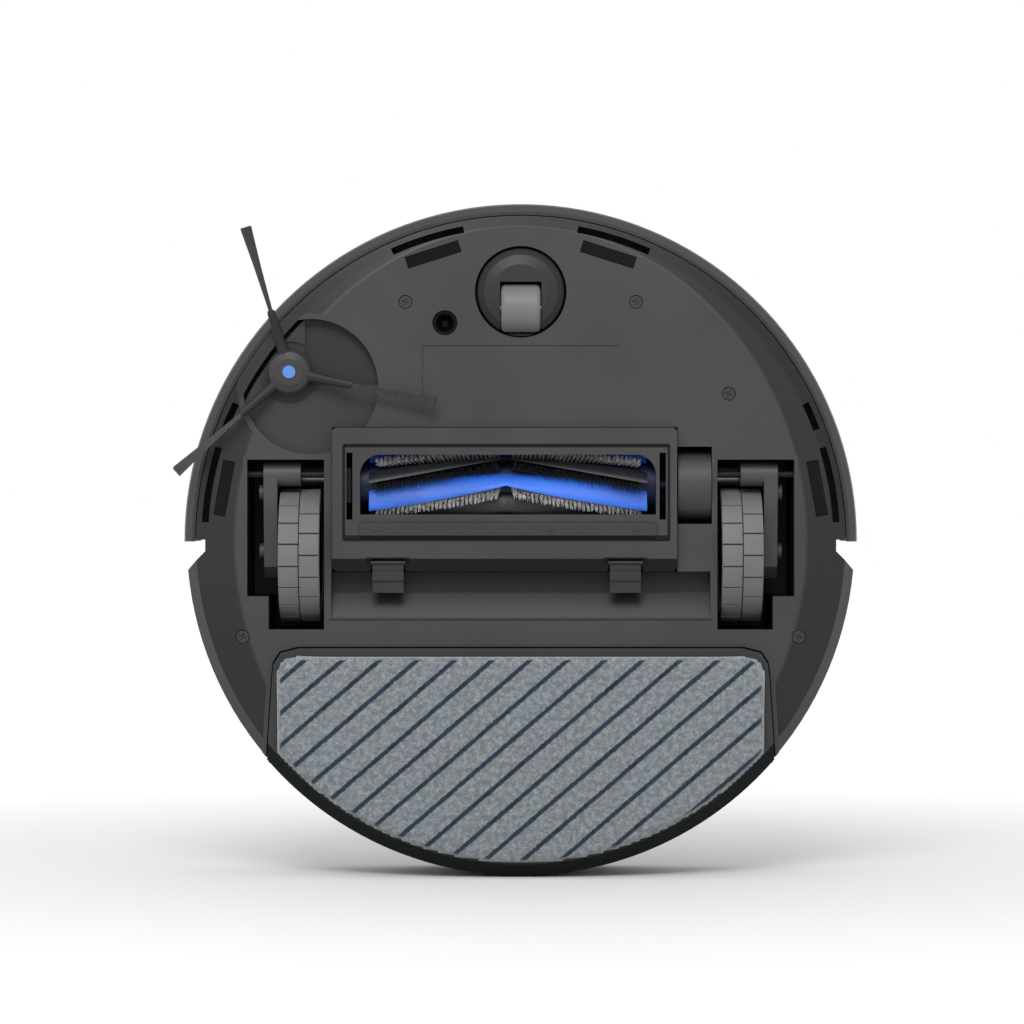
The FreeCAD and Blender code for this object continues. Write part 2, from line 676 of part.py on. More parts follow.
# ---------------------------------------------------------------- drive wheels
def drive_wheel(side):
    """Swing arm with its gearbox and motor, and the wheel it carries."""
    sign = mirrored(side)
    wheel_w = S.wheel_w
    mid = S.track_x * sign
    pivot = (S.pivot_y, S.pivot_z)
    plate_in = S.track_x + wheel_w / 2 + 1
    plate_out = plate_in + S.arm_t
    plate_x = (plate_in, plate_out) if sign > 0 else (-plate_out, -plate_in)
    block_in = S.track_x - 0.5
    block_x = (block_in, plate_out) if sign > 0 else (-plate_out, -block_in)

    low = S.pivot_z - 6.2
    plate = prism(f"arm_plate_{side}",
                  [(S.pivot_y, low), (S.wheel_y + 6, low + 6), (S.wheel_y + 12, S.wheel_r - 8),
                                        (S.wheel_y + 12, S.wheel_r + 8), (S.wheel_y - 4, S.wheel_r + 14),
                                        (S.pivot_y + 3, S.pivot_z + 18), (S.pivot_y - 5.5, S.pivot_z + 4)],
                  plate_x[0], plate_x[1], "YZ_Plane")
    block = box(f"arm_block_{side}", block_x, (S.pivot_y - 4, S.wheel_y - S.wheel_r - 1.2),
                (S.pivot_z, S.pivot_z + 16))
    eye = rod(f"arm_eye_{side}", 6.2, (block_x[0], *pivot), block_x[1] - block_x[0], "x")
    boss_x = plate_out if sign > 0 else -plate_out - 2.6
    bosses = [rod(f"arm_boss_{side}_{n}", 4, (boss_x, y, z), 2.6, "x")
              for n, (y, z) in enumerate(((S.pivot_y + 9.5, S.pivot_z + 4),
                                          (S.wheel_y - 2, S.wheel_r - 8)))]
    axle_bore = rod(f"arm_axle_bore_{side}", S.axle_r + S.running, (plate_x[0] - 1, S.wheel_y, S.wheel_r),
                    S.arm_t + 2, "x")
    pin_bore = rod(f"arm_pin_bore_{side}", S.axle_r + S.running, (block_x[0] - 1, *pivot),
                   block_x[1] - block_x[0] + 4, "x")
    solid = fuse(f"arm_solid_{side}", plate, block, eye, *bosses)
    node(cut(f"gearbox_{side}", solid, axle_bore, pin_bore), f"drive_gearbox_{side}")

    motor_x = block_in - 12 if sign > 0 else -block_in
    motor = rod(f"motor_{side}", 6, (motor_x, S.pivot_y, S.pivot_z + 14), 12, "x")
    node(motor, f"drive_motor_{side}")
    pin_x = S.well_in - 1 if sign > 0 else -S.well_out - 1
    pin = rod(f"swing_pin_{side}", S.axle_r, (pin_x, *pivot), S.well_out - S.well_in + 2, "x")

    rim_r = S.wheel_r - S.tyre_t
    half = wheel_w / 2
    hub_profile = [(0, -half + 1), (8, -half + 1), (9, -half + 3), (rim_r - 4, -half + 3),
                   (rim_r - 2.5, -half + 1.2),
                   (rim_r, -half + 1.2), (rim_r, half - 1.2), (rim_r - 2.5, half - 1.2),
                   (rim_r - 4, half - 3),
                   (9, half - 3), (8, half - 1), (0, half - 1)]
    hub = turned_x(f"hub_turned_{side}", hub_profile, (mid, S.wheel_y, S.wheel_r))
    axle_x = mid if sign > 0 else -plate_out
    axle = rod(f"axle_{side}", S.axle_r, (axle_x, S.wheel_y, S.wheel_r), plate_out - S.track_x, "x")
    holes = []
    for n in range(5):
        spoke = math.radians(72 * n)
        holes.append(rod(f"hub_hole_{side}_{n}", 4.5, (mid - half, S.wheel_y + 17 * math.sin(spoke),
                                                        S.wheel_r + 17 * math.cos(spoke)), wheel_w, "x"))
    node(cut(f"hub_{side}", fuse(f"hub_axle_{side}", hub, axle), *holes), f"wheel_hub_{side}")

    base_r = S.wheel_r - S.lug_h
    tyre_profile = [(rim_r, -half), (base_r - 1, -half), (base_r, -half + 1), (base_r, half - 1),
                    (base_r - 1, half),
                    (rim_r, half)]
    tread = turned_x(f"tread_{side}", tyre_profile, (mid, S.wheel_y, S.wheel_r))
    lugs = []
    for row in (0, 1):
        start = mid - half + 0.8 if row == 0 else mid + 0.1
        for n in range(LUGS):
            turn = 360 / LUGS * (n + row / 2)
            lug = doc.addObject("Part::Box", f"lug_{side}_{row}_{n}")
            bind(lug, "Length", half - 0.9)
            lug.Width = LUG_W
            bind(lug, "Height", S.lug_h + 1)
            lug.Placement = Placement(Vector(number(start), S.wheel_y.value, S.wheel_r.value), Rotation()) \
                * Placement(Vector(), Rotation(Vector(1, 0, 0), turn)) \
                * Placement(Vector(0, -LUG_W / 2, number(base_r) - 1), Rotation())
            lugs.append(lug)
    node(fuse(f"tyre_{side}", tread, *lugs), f"wheel_tyre_{side}")

    spring_x = (S.track_x + half + 4.5) * sign
    spring = feature(f"spring_{side}", coil(3.2, 0.5, 19, 6))
    spring.Placement = Placement(Vector(spring_x.value, S.pivot_y.value + 12, S.pivot_z.value + 32),
                                 Rotation())
    return pin, spring


LUGS = 19
LUG_W = 6.4
swing_pins, suspension_springs = zip(*(drive_wheel(side) for side in ("left", "right")))
node(group("pin_pair", *swing_pins), "swing_pins")
node(group("suspension_pair", *suspension_springs), "suspension_springs")


# ---------------------------------------------------------------- brush chamber
def roller_axis(x):
    return (x, S.roller_y, S.roller_z)


def brush_chamber():
    floor = inner_floor
    top = S.chamber_top
    chamber_r = S.roller_r + 2
    x0 = S.cover_x0 - 1.5
    x1 = S.cover_x1
    block = box("chamber_block", (x0, x1), (S.cover_y0 - 1.5, S.cover_y1 - 1.4), (floor, top))
    hollow = rod("chamber_hollow", chamber_r, roller_axis(x0 + 2.5), x1 - x0 - 2.5, "x")
    mouth = box("chamber_mouth", (x0 + 2.5, x1), (S.roller_y - chamber_r, S.roller_y + chamber_r),
                (floor - 1, S.roller_z))
    rebate = box("chamber_rebate", (S.cover_x0 - S.play, x1 + 1), (S.cover_y0 - S.play, S.cover_y1),
                 (floor - 1, S.belly + 4))
    duct_high = S.bin_low - 3
    duct_wall = box("duct_wall", (-42, 42), (-24, -2), (top - 1, duct_high))
    duct = box("chamber_duct", (-40, 40), (-22, -4), (S.roller_z, duct_high + 1))
    boss = rod("chamber_boss_space", S.pocket_r + 3.2, (S.pocket_x, S.pocket_y, floor - 1),
               S.belly + 11.2 - floor)
    node(cut("chamber", fuse("chamber_solid", block, duct_wall), hollow, mouth, rebate, duct, boss),
         "brush_housing")

    end_x = x0 + 2.5
    bearing = rod("bearing_block", 9, roller_axis(end_x), S.roller_x0 - 1.2 - end_x, "x")
    keeper = box("bearing_keeper", (end_x, S.roller_x0 - 1.2), (S.roller_y - 9, S.roller_y + 9),
                 (floor, S.roller_z))
    bore = rod("bearing_bore", S.shaft_r + S.running, roller_axis(end_x + 2), 20, "x")
    node(cut("bearing", fuse("bearing_body", bearing, keeper), bore), "roller_bearing")

    gear_x0 = x1 + 0.8
    gear_w = S.gearbox_x1 - gear_x0
    bulge = rod("gearbox_bulge", S.gearbox_r, (gear_x0, S.roller_y, S.gearbox_r + 6.6), gear_w, "x")
    case = box("gearbox_case", (gear_x0, S.gearbox_x1), (S.roller_y, 46), (S.belly + 14.4, S.belly + 34))
    drive_bore = rod("gearbox_bore", S.shaft_r + S.running, roller_axis(gear_x0 - 1), 7, "x")
    node(cut("gearbox", fuse("gearbox_solid", bulge, case), drive_bore), "brush_gearbox")
    node(rod("motor", 10, (gear_x0 - 36, 32, 35), 36, "x"), "brush_motor")


brush_chamber()


def roller():
    x0, x1, mid = (number(size) for size in (S.roller_x0, S.roller_x1, S.roller_mid))
    core = rod("roller_tube", S.roller_core_r, roller_axis(S.roller_x0), S.roller_x1 - S.roller_x0, "x")
    caps = [rod(f"roller_cap_{n}", S.roller_core_r + 1, roller_axis(x), 2, "x")
            for n, x in enumerate((S.roller_x0, S.roller_x1 - 2))]
    left_end = S.roller_x0 - 7.5
    drive_end = S.cover_x1 + 5
    shaft = rod("roller_shaft", S.shaft_r, roller_axis(left_end), drive_end - left_end, "x")
    node(fuse("roller_solid", core, *caps, shaft), "roller_core")
    fin_ends = (S.window_x0.value + 4.6, S.window_x1.value - 4.6)
    core_space = Part.makeCylinder(S.roller_core_r.value, x1 - x0, Vector(x0, 0, 0), Vector(1, 0, 0))

    def fins(name, offset, thickness, count, reach):
        """Rows of V-shaped fins: both halves lean back from the middle."""
        solids = []
        low = S.roller_core_r.value - 1.5
        for n in range(count):
            halves = []
            for end in fin_ends:
                sections = []
                for step in range(FIN_STEPS + 1):
                    share = step / FIN_STEPS
                    turn = Rotation(Vector(1, 0, 0), offset + 360 / count * n + FIN_TWIST * share)
                    out = turn.multVec(Vector(0, 0, 1))
                    centre = Vector(mid + (end - mid) * share, 0, 0) + out * ((reach + low) / 2)
                    sections.append((centre, turn.multVec(Vector(0, 1, 0)), out, thickness, reach - low))
                halves.append(tapered_bar(sections))
            solids.append(halves[0].fuse(halves[1]).cut(core_space))
        fin_group = feature(name + "_rows", Part.makeCompound(solids))
        fin_group.Placement = Placement(Vector(0, S.roller_y.value, S.roller_z.value), Rotation())
        node(fin_group, name)

    fins("roller_fins", FIN_START, 2.4, FIN_ROWS, S.roller_r.value)
    fins("roller_bristles", FIN_START + 180 / FIN_ROWS, 1.6, FIN_ROWS, S.roller_r.value - 0.2)


FIN_ROWS = 8
FIN_START = 33.0
FIN_STEPS = 4
FIN_TWIST = 42.0
roller()


# ---------------------------------------------------------------- brush cover
def brush_cover():
    low = S.cover_low
    high = low + S.cover_t
    x0, x1, y0, y1 = S.cover_x0, S.cover_x1, S.cover_y0, S.cover_y1
    plate = prism("cover_plate", [(x0, y0), (x1, y0), (x1, y1), (x0, y1)], low, high)
    round_corners(plate, 2.6)
    rim = box("cover_rim", (x0 + 2.5, x1 - 2.5), (y0 + 2.5, S.window_y0 - 4), (low + 1, S.belly + 3.6))
    step = box("cover_step", (S.window_x0 - 8.5, S.window_x1 + 6.7), (S.window_y0 - 5.1, 0),
               (low - 1, low + 0.9))
    window = prism("cover_window", [(S.window_x0, S.window_y0), (S.window_x1, S.window_y0),
                                    (S.window_x1, S.window_y1), (S.window_x0, S.window_y1)], low - 1,
                                    high + 9)
    front_y = S.window_y0.value + 1
    round_corners(window, 10.5, lambda point: point.y < front_y)
    relief = box("cover_relief", (S.window_x0 - 8.5, S.window_x1 + 6.7), (S.window_y0 - 3, -1),
                 (high - 1, high + 9))
    slots = [box(f"cover_slot_{n}", x, (S.window_y0 - 1, S.window_y1 + 2.6), (low - 1, high + 1))
             for n, x in enumerate(((S.window_x0 - 7, S.window_x0 - 3.9),
                                    (S.window_x1 + 1.8, S.window_x1 + 5.1)))]
    slope = prism("cover_slope",
                  [(y1 - 6.7, low - 1), (y1 + 1, low - 1), (y1 + 1, high - 0.8), (y1, high - 0.8),
                                  (y1 - 6.7, low)], x0 - 1, x1 + 1, "YZ_Plane")
    strip_groove = box("strip_groove", (S.window_x0, S.window_x1), (-9.3, -2.5), (low, low + 1.8))
    line = box("cover_line", (S.window_x0, S.window_x1), (-1.4, -0.2), (low, low + 1.8))
    notches = [box(f"latch_notch_{n}", (x - 9, x + 9), (9.5, y1 + 1), (low - 1, high + 1))
               for n, x in enumerate(LATCH_X)]
    pin_bores = [rod(f"latch_bore_{n}", 1.2 + S.running, (x - 10.5, y1 - 4.6, high - 1.6), 21, "x")
                 for n, x in enumerate(LATCH_X)]
    room = rod("cover_roller_room", S.roller_r + 0.6, roller_axis(S.window_x0 + 4),
               S.window_x1 - S.window_x0 - 8, "x")
    node(cut("cover", fuse("cover_solid", plate, rim), step, window, relief, room, *slots, slope,
             strip_groove, line, *notches, *pin_bores), "brush_cover_frame")

    strip = box("squeegee", (S.window_x0 + 0.1, S.window_x1 - 0.1), (-9.2, -2.6), (low - 0.9, low + 1.8))
    rivet_x = [S.roller_mid - 67.2 + 44.8 * n for n in range(4)]
    rivet_holes = [rod(f"rivet_hole_{n}", 1.4, (x, -5.9, low - 2), 5) for n, x in enumerate(rivet_x)]
    node(cut("squeegee_cut", strip, *rivet_holes), "squeegee_strip")
    rivets = [rod(f"rivet_{n}", 1.4, (x, -5.9, low - 1.3), 3.1) for n, x in enumerate(rivet_x)]
    node(group("rivets", *rivets), "squeegee_rivets")

    for side, x in zip(("left", "right"), LATCH_X):
        tab = box(f"latch_tab_{side}", (x - 8, x + 8), (y1 - 3.6, y1 + 11), (high - 1.9, high - 0.3))
        lip = box(f"latch_lip_{side}", (x - 8, x + 8), (y1 - 0.2, y1 + 4.6), (high - 3.4, high - 1))
        hook = box(f"latch_hook_{side}", (x - 6, x + 6), (y1 + 1, y1 + 3), (high - 1, high + 2.4))
        barrel = rod(f"latch_barrel_{side}", 1.2, (x - 10.3, y1 - 4.6, high - 1.6), 20.6, "x")
        node(fuse(f"latch_solid_{side}", tab, lip, hook, barrel), f"cover_latch_{side}")


LATCH_X = (-68.5, 54.0)
brush_cover()


# ---------------------------------------------------------------- side brush
ARM_BEARINGS = (253.5, 138.3, 11.9)


def side_brush():
    x, y = S.side_x, S.side_y
    top = S.belly + S.pocket_depth
    centre = Vector(x.value, y.value, 0)
    up = Vector(0, 0, 1)
    r = S.hub_r
    dome = turned("hub_dome", [(0, 5), (r - 5, 5), (r - 1.5, 6.5), (r, 9), (r, top - 0.6), (0, top - 0.6)],
                  place=(x, y, 0))
    socket = rod("hub_socket", 2.5 + S.running, (x, y, 7.6), 20)
    cap_hole = rod("hub_cap_hole", 3.3, (x, y, 4), 3)
    node(cut("hub_body", dome, socket, cap_hole), "side_brush_hub")
    node(rod("hub_cap", 3.3, (x, y, 4.4), 2.6), "side_brush_screw")

    sleeves = []
    bundles = []
    for n, bearing in enumerate(ARM_BEARINGS):
        out = Vector(math.cos(math.radians(bearing)), math.sin(math.radians(bearing)), 0)
        across = Vector(-out.y, out.x, 0)
        path = [(r.value - 1.5, 8.2), (22, 6.0), (S.sleeve_r.value, 3.4)]
        shape = [(6.4, 4.0), (6.0, 3.2), (4.6, 2.2)]
        sleeves.append(tapered_bar([(centre + out * along + up * height, across, up, wide, thick)
                                    for (along, height), (wide, thick) in zip(path, shape)]))
        path = [(S.sleeve_r.value + 0.05, 3.4), (58, 1.7), (S.sweep_r.value, 1.2)]
        shape = [(2.2, 1.3), (3.4, 0.9), (5.6, 0.8)]
        bundles.append(tapered_bar([(centre + out * along + up * height, across, up, wide, thick)
                                    for (along, height), (wide, thick) in zip(path, shape)]))
    hub_space = Part.makeCylinder(r.value, 40, centre)
    node(feature("sleeves", Part.makeCompound([sleeve.cut(hub_space) for sleeve in sleeves])),
         "side_brush_sleeves")
    node(feature("bundles", Part.makeCompound(bundles)), "side_brush_bristles")

    floor = S.belly + 10
    case = rod("side_motor_case", 9, (x, y, floor), 22)
    shaft = rod("side_motor_shaft", 2.5, (x, y, 8), 13)
    node(fuse("side_motor", case, shaft), "side_brush_motor")


side_brush()


# ---------------------------------------------------------------- floor fittings
def floor_fittings():
    screws = []
    for n, (x, y) in enumerate(SCREWS):
        head = rod(f"screw_head_{n}", 3.2, (x, y, S.belly + 0.8), 1.6)
        shank = rod(f"screw_shank_{n}", 1.55, (x, y, S.belly + 2), 9)
        slots = [slab(f"screw_slot_{n}_{angle}", (x, y), 3.8, 0.8, (S.belly, S.belly + 1.7), angle)
                 for angle in (20, 110)]
        screws.append(cut(f"screw_{n}", fuse(f"screw_body_{n}", head, shank), *slots))
    node(group("screws", *screws), "base_screws")
    lenses = [slab(f"window_{n}", (x, y), 28.6, 6.0, (S.belly + base + 0.6, S.belly + base + 1.6), angle)
              for n, (x, y, angle, base) in enumerate(WINDOWS)]
    node(group("drop_windows", *lenses), "drop_sensor_windows")
    carpet = rod("carpet_barrel", 6.5, (-39.2, -112.5, S.belly + 3), 8)
    cone_hole = cone("carpet_cone", 5.2, 1.6, (-39.2, -112.5, S.belly + 2), 7)
    node(cut("carpet_eye", carpet, cone_hole), "carpet_sensor")


floor_fittings()


# ---------------------------------------------------------------- inside
def insides():
    floor = inner_floor
    node(box("battery", (-46, 46), (-99, S.cover_y0 - 2), (floor, floor + 24)), "battery_pack")
    plate = box("board_plate", (-72, 72), (-138, -77), (BOARD_Z, BOARD_Z + 1.6))
    chips = [box(f"board_chip_{n}", (x, x + 14), (y, y + 14), (BOARD_Z + 1.6, BOARD_Z + 3.2))
             for n, (x, y) in enumerate(((-30, -120), (6, -116), (-56, -100)))]
    node(fuse("board", plate, *chips), "main_board")
    ring = turned("speaker_ring", [(0, 0), (12, 0), (12, 4), (15, 7), (15, 9), (0, 9)],
                  place=(80, -96, floor))
    node(ring, "speaker")

    well_floor = S.bin_low - 0.5
    shell = box("bin_shell", (-71, 71), (-73, 3.6), (well_floor, deck_low - 1))
    space = box("bin_space", (-69, 69), (-71, 1.6), (well_floor + 2, deck_low - 3))
    throat = box("bin_throat", (-40, 40), (-22, -4), (well_floor - 1, well_floor + 3))
    window = box("bin_filter_hole", (-56, -4), (1, 5), (S.bin_low + 2, S.bin_low + 16))
    recess = box("bin_handle_recess", (-30, 30), (-50, -30), (deck_low - 3.4, deck_low))
    node(cut("bin_case", shell, space, throat, window, recess), "dust_bin")
    handle = box("handle_bar", (-29.5, 29.5), (-49, -31), (deck_low - 2.6, deck_low - 0.8))
    grip = box("handle_grip", (-20, 20), (-45, -35), (deck_low - 3.4, deck_low))
    arms = [box(f"handle_pin_{n}", (x, x + 2), (-50, -30), (deck_low - 3, deck_low - 1.2))
            for n, x in enumerate((-29.5, 27.5))]
    node(cut("handle", fuse("handle_solid", handle, *arms), grip), "bin_handle")
    node(box("filter", (-56, -4), (1.6, 4.4), (S.bin_low + 2, S.bin_low + 16)), "dust_filter")

    fan_x, fan_y, fan_r, fan_low = -30, 35.5, 19, S.bin_low - 10.6
    port = (S.bin_low + 2, S.bin_low + 10)
    case = rod("fan_case", fan_r, (fan_x, fan_y, fan_low), 21)
    snout = box("fan_snout", (fan_x - 18, fan_x + 18), (6.6, fan_y), (port[0] - 1.5, port[1] + 0.4))
    room = rod("fan_room", fan_r - 2, (fan_x, fan_y, fan_low + 2), 17)
    snout_hole = box("fan_snout_hole", (fan_x - 15, fan_x + 15), (5, fan_y), port)
    spindle = rod("fan_spindle", 2, (fan_x, fan_y, fan_low + 1), 15)
    hollow = cut("fan_hollow", fuse("fan_solid", case, snout), room, snout_hole)
    node(fuse("fan_body", hollow, spindle), "fan_housing")
    hub = rod("fan_hub", 6, (fan_x, fan_y, fan_low + 2.5), 15)
    disc = rod("fan_disc", fan_r - 4, (fan_x, fan_y, fan_low + 2.5), 1.5)
    blades = [slab(f"fan_blade_{n}", (fan_x + 9.5 * math.cos(math.radians(40 * n)),
                                      fan_y + 9.5 * math.sin(math.radians(40 * n))), 10, 1.2,
                   (fan_low + 3, fan_low + 15), 40 * n) for n in range(9)]
    bore = rod("fan_bore", 2 + S.running, (fan_x, fan_y, fan_low), 16.5)
    node(cut("fan_rotor", fuse("fan_wheel", hub, disc, *blades), bore), "fan_impeller")


insides()


# ---------------------------------------------------------------- top
def top_fittings():
    lid_y = (S.lid_front, S.lid_rear)
    panel = box("lid_plate", (-S.lid_half, S.lid_half), lid_y, (deck_low + 0.4, S.body_top))
    pin_z = S.body_top - S.hinge_drop
    bore = rod("lid_bore", S.pin_r, (-S.lid_half - 1, S.hinge_y, pin_z), 2 * S.lid_half + 2, "x")
    node(cut("lid", panel, bore), "lid_panel")
    pins = rod("lid_pin", S.pin_r, (-S.lid_half - 4, S.hinge_y, pin_z), 2 * S.lid_half + 8, "x")
    node(pins, "lid_hinge_pin")

    y = S.turret_y
    base_low = deck_low - 10
    seat = rod("lidar_seat", S.turret_r - 3, (0, y, base_low), 6)
    spindle = rod("lidar_spindle", 5, (0, y, base_low + 5), 14)
    node(fuse("lidar_stand", seat, spindle), "lidar_base")
    cap_low = S.body_top + S.turret_h - 3.6
    ring = turned("turret_ring",
                  [(S.turret_r - 5, S.body_top), (S.turret_r, S.body_top), (S.turret_r, S.body_top + 2.6),
                                  (S.turret_r - 5, S.body_top + 2.6)], place=(0, y, 0))
    crown = turned("turret_crown", [(0, cap_low), (S.turret_r - 3, cap_low), (S.turret_r - 2, cap_low + 2),
                                    (S.turret_r - 5, cap_low + 3.6), (0, cap_low + 3.6)], place=(0, y, 0))
    posts = []
    for n in range(4):
        angle = math.radians(45 + 90 * n)
        reach = S.turret_r - 5
        posts.append(rod(f"turret_post_{n}", 1.4, (reach * math.cos(angle), y + reach * math.sin(angle),
                                                   S.body_top + 1), S.turret_h - 3))
    node(fuse("turret_solid", ring, crown, *posts), "lidar_cover")
    drum = rod("rotor_drum", 34, (0, y, base_low + 6.3), cap_low - base_low - 7)
    eyes = [rod(f"rotor_eye_{n}", 4, (x, y - 40, S.body_top + 4), 16, "y") for n, x in enumerate((-13, 13))]
    face = box("rotor_face", (-26, 26), (y - 40, y - 28), (base_low + 12, cap_low + 1))
    bore = rod("rotor_bore", 5 + S.running, (0, y, base_low), 19.6)
    node(cut("rotor", drum, face, bore, *eyes), "lidar_rotor")

    cap = rod("button_cap", S.button_r, (0, S.button_y, deck_low - 1), S.deck_t + 2)
    skirt = rod("button_skirt", S.button_r + 1.2, (0, S.button_y, deck_low - 1.6), 1.4)
    node(fuse("button", cap, skirt), "start_button")


top_fittings()


# ---------------------------------------------------------------- mop module
def mop_module():
    plate_high = S.plate_low + S.plate_t
    outline = prism("tank_plan", tank_outline(0), plate_high, S.tank_top)
    bound = rod("tank_bound", S.body_r - 0.5, (0, 0, plate_high), S.tank_top - plate_high)
    block = common("tank_block", outline, bound)
    wall = S.tank_wall
    inner_plan = prism("tank_inner_plan", tank_outline(-wall.value), plate_high + 3, S.tank_top - wall)
    inner_bound = rod("tank_inner_bound", S.body_r - 0.5 - wall, (0, 0, plate_high + 3),
                      S.tank_top - wall - plate_high - 3)
    water = common("tank_water", inner_plan, inner_bound)
    cap_place = (-80, 118, S.tank_top - 1.4)
    cap_hole = rod("tank_cap_hole", 9, (-80, 118, S.tank_top - 5), 10)
    cap_recess = rod("tank_cap_recess", 10.5, cap_place, 2)
    cap_wall = rod("tank_cap_wall", 12.5, (-80, 118, S.tank_top - 5), 5)
    grip = box("tank_grip", (-30, 30), (S.body_r - 14, S.body_r + 5), (18, 34))
    grip_wall = box("tank_grip_wall", (-32, 32), (S.body_r - 21, S.body_r - 2), (plate_high, 36))
    button_space = box("tank_button_space", (-14.3, 14.3), (S.body_r - 18, S.body_r - 13), (20.7, 31.3))
    added = [cap_wall, common("grip_wall_inside", grip_wall, bound)]
    removed = [cap_hole, cap_recess, grip, button_space]
    for n, sign in enumerate((-1, 1)):
        wall_x = sorted((sign * (S.tank_half - 7), sign * (S.tank_half - 1)), key=number)
        space_x = sorted((sign * (S.tank_half - 4.8), sign * (S.tank_half + 2)), key=number)
        wall_block = box(f"latch_wall_{n}", wall_x, (101.7, 114.8), (plate_high, plate_high + 16))
        added.append(common(f"latch_wall_inside_{n}", wall_block, outline))
        removed.append(box(f"latch_space_{n}", space_x, (103.7, 112.8),
                           (plate_high - 1, plate_high + 14.3)))
    shell = cut("tank_shell", block, water)
    node(cut("tank", fuse("tank_solid", shell, *added), *removed), "water_tank")
    plug = turned("cap_plug", [(0, -3), (9, -3), (9, 0), (10.5, 0), (10.5, 1.4), (0, 1.4)], place=cap_place)
    node(plug, "tank_cap")

    plan = prism("plate_plan", tank_outline(-0.4), S.plate_low, plate_high)
    plate_bound = cone("plate_bound", S.pad_r + 0.5, S.body_r - 0.5, (0, 0, S.plate_low), S.plate_t)
    node(common("plate_solid", plan, plate_bound), "mop_plate")

    pad_plan = prism("pad_plan", [(S.pad_half, S.pad_front), (S.pad_half, S.pad_front + 130),
                                  (-S.pad_half, S.pad_front + 130), (-S.pad_half, S.pad_front)], 0, S.pad_t)
    front_y = S.pad_front.value + 1
    round_corners(pad_plan, 10, lambda point: point.y < front_y)
    pad = common("pad_solid", pad_plan, rod("pad_bound", S.pad_r, (0, 0, 0), S.pad_t))
    node(pad, "mop_pad")

    for side in ("left", "right"):
        sign = mirrored(side)
        x = sorted((sign * (S.tank_half - 3), sign * (S.tank_half - 1)), key=number)
        node(box(f"latch_{side}", x, (104, 112.5), (plate_high + 0.1, plate_high + 14)),
             f"tank_latch_{side}")
    button = box("release_button", (-14, 14), (S.body_r - 14.6, S.body_r - 11), (21, 31))
    node(button, "tank_release_button")


mop_module()

# ---------------------------------------------------------------- checks and files
doc.recompute()
for item in doc.Objects:
    faults = [state for state in item.State if state in ("Invalid", "Error")]
    if faults:
        raise RuntimeError(f"{item.Label} did not build: {faults}")
for item in NODES:
    if item.Shape.isNull() or not item.Shape.isValid() or not item.Shape.Solids:
        raise RuntimeError(f"{item.Label} has no valid solid")
for item in NODES:
    item.Shape.exportStep(f"parts/{item.Label}.step")
print(len(NODES), "nodes written")
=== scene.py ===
# %% [markdown]
# # A robot vacuum, seen from underneath
# The engineering model arrives as a fixed frame: every hard part already has its
# true shape and place. This lesson gives those parts their finishes and makes the
# pieces that a CAD program draws badly: cloth, bristles, tyre treads and brush rows.

# %% Load the frame
import math
import random

import bmesh
import bpy
from mathutils import Matrix, Vector


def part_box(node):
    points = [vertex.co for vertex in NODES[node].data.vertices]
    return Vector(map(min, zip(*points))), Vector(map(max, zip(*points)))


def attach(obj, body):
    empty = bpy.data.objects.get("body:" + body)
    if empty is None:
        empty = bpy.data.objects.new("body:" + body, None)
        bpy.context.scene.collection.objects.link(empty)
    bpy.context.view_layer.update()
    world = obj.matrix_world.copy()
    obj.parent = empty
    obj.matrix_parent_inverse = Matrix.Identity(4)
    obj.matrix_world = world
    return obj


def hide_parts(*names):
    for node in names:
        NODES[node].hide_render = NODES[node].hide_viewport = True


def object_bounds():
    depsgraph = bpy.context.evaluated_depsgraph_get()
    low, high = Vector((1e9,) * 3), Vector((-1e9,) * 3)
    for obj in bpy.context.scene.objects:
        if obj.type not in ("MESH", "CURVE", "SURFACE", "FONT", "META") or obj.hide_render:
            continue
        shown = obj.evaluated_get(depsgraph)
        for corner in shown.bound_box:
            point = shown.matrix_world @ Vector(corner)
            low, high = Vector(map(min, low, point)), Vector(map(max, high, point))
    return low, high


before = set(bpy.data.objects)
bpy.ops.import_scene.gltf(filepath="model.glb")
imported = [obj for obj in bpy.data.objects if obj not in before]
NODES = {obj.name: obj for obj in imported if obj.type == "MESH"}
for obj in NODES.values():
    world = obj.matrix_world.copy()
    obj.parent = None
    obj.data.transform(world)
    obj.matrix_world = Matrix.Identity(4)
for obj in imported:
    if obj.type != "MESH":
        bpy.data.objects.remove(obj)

cad_box = [list(corner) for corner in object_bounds()]
bpy.context.scene.view_settings.view_transform = "Standard"
MM = 0.001
print("parts in the frame:", len(NODES))

# %% [markdown]
# ## Writing shaders as sums
# A finish is a small graph of nodes. Wiring it by hand takes many lines, so one
# class wraps a socket and lets Python's own operators add the Math nodes. Anything
# else, a noise or a ramp, comes from one method called `node`.


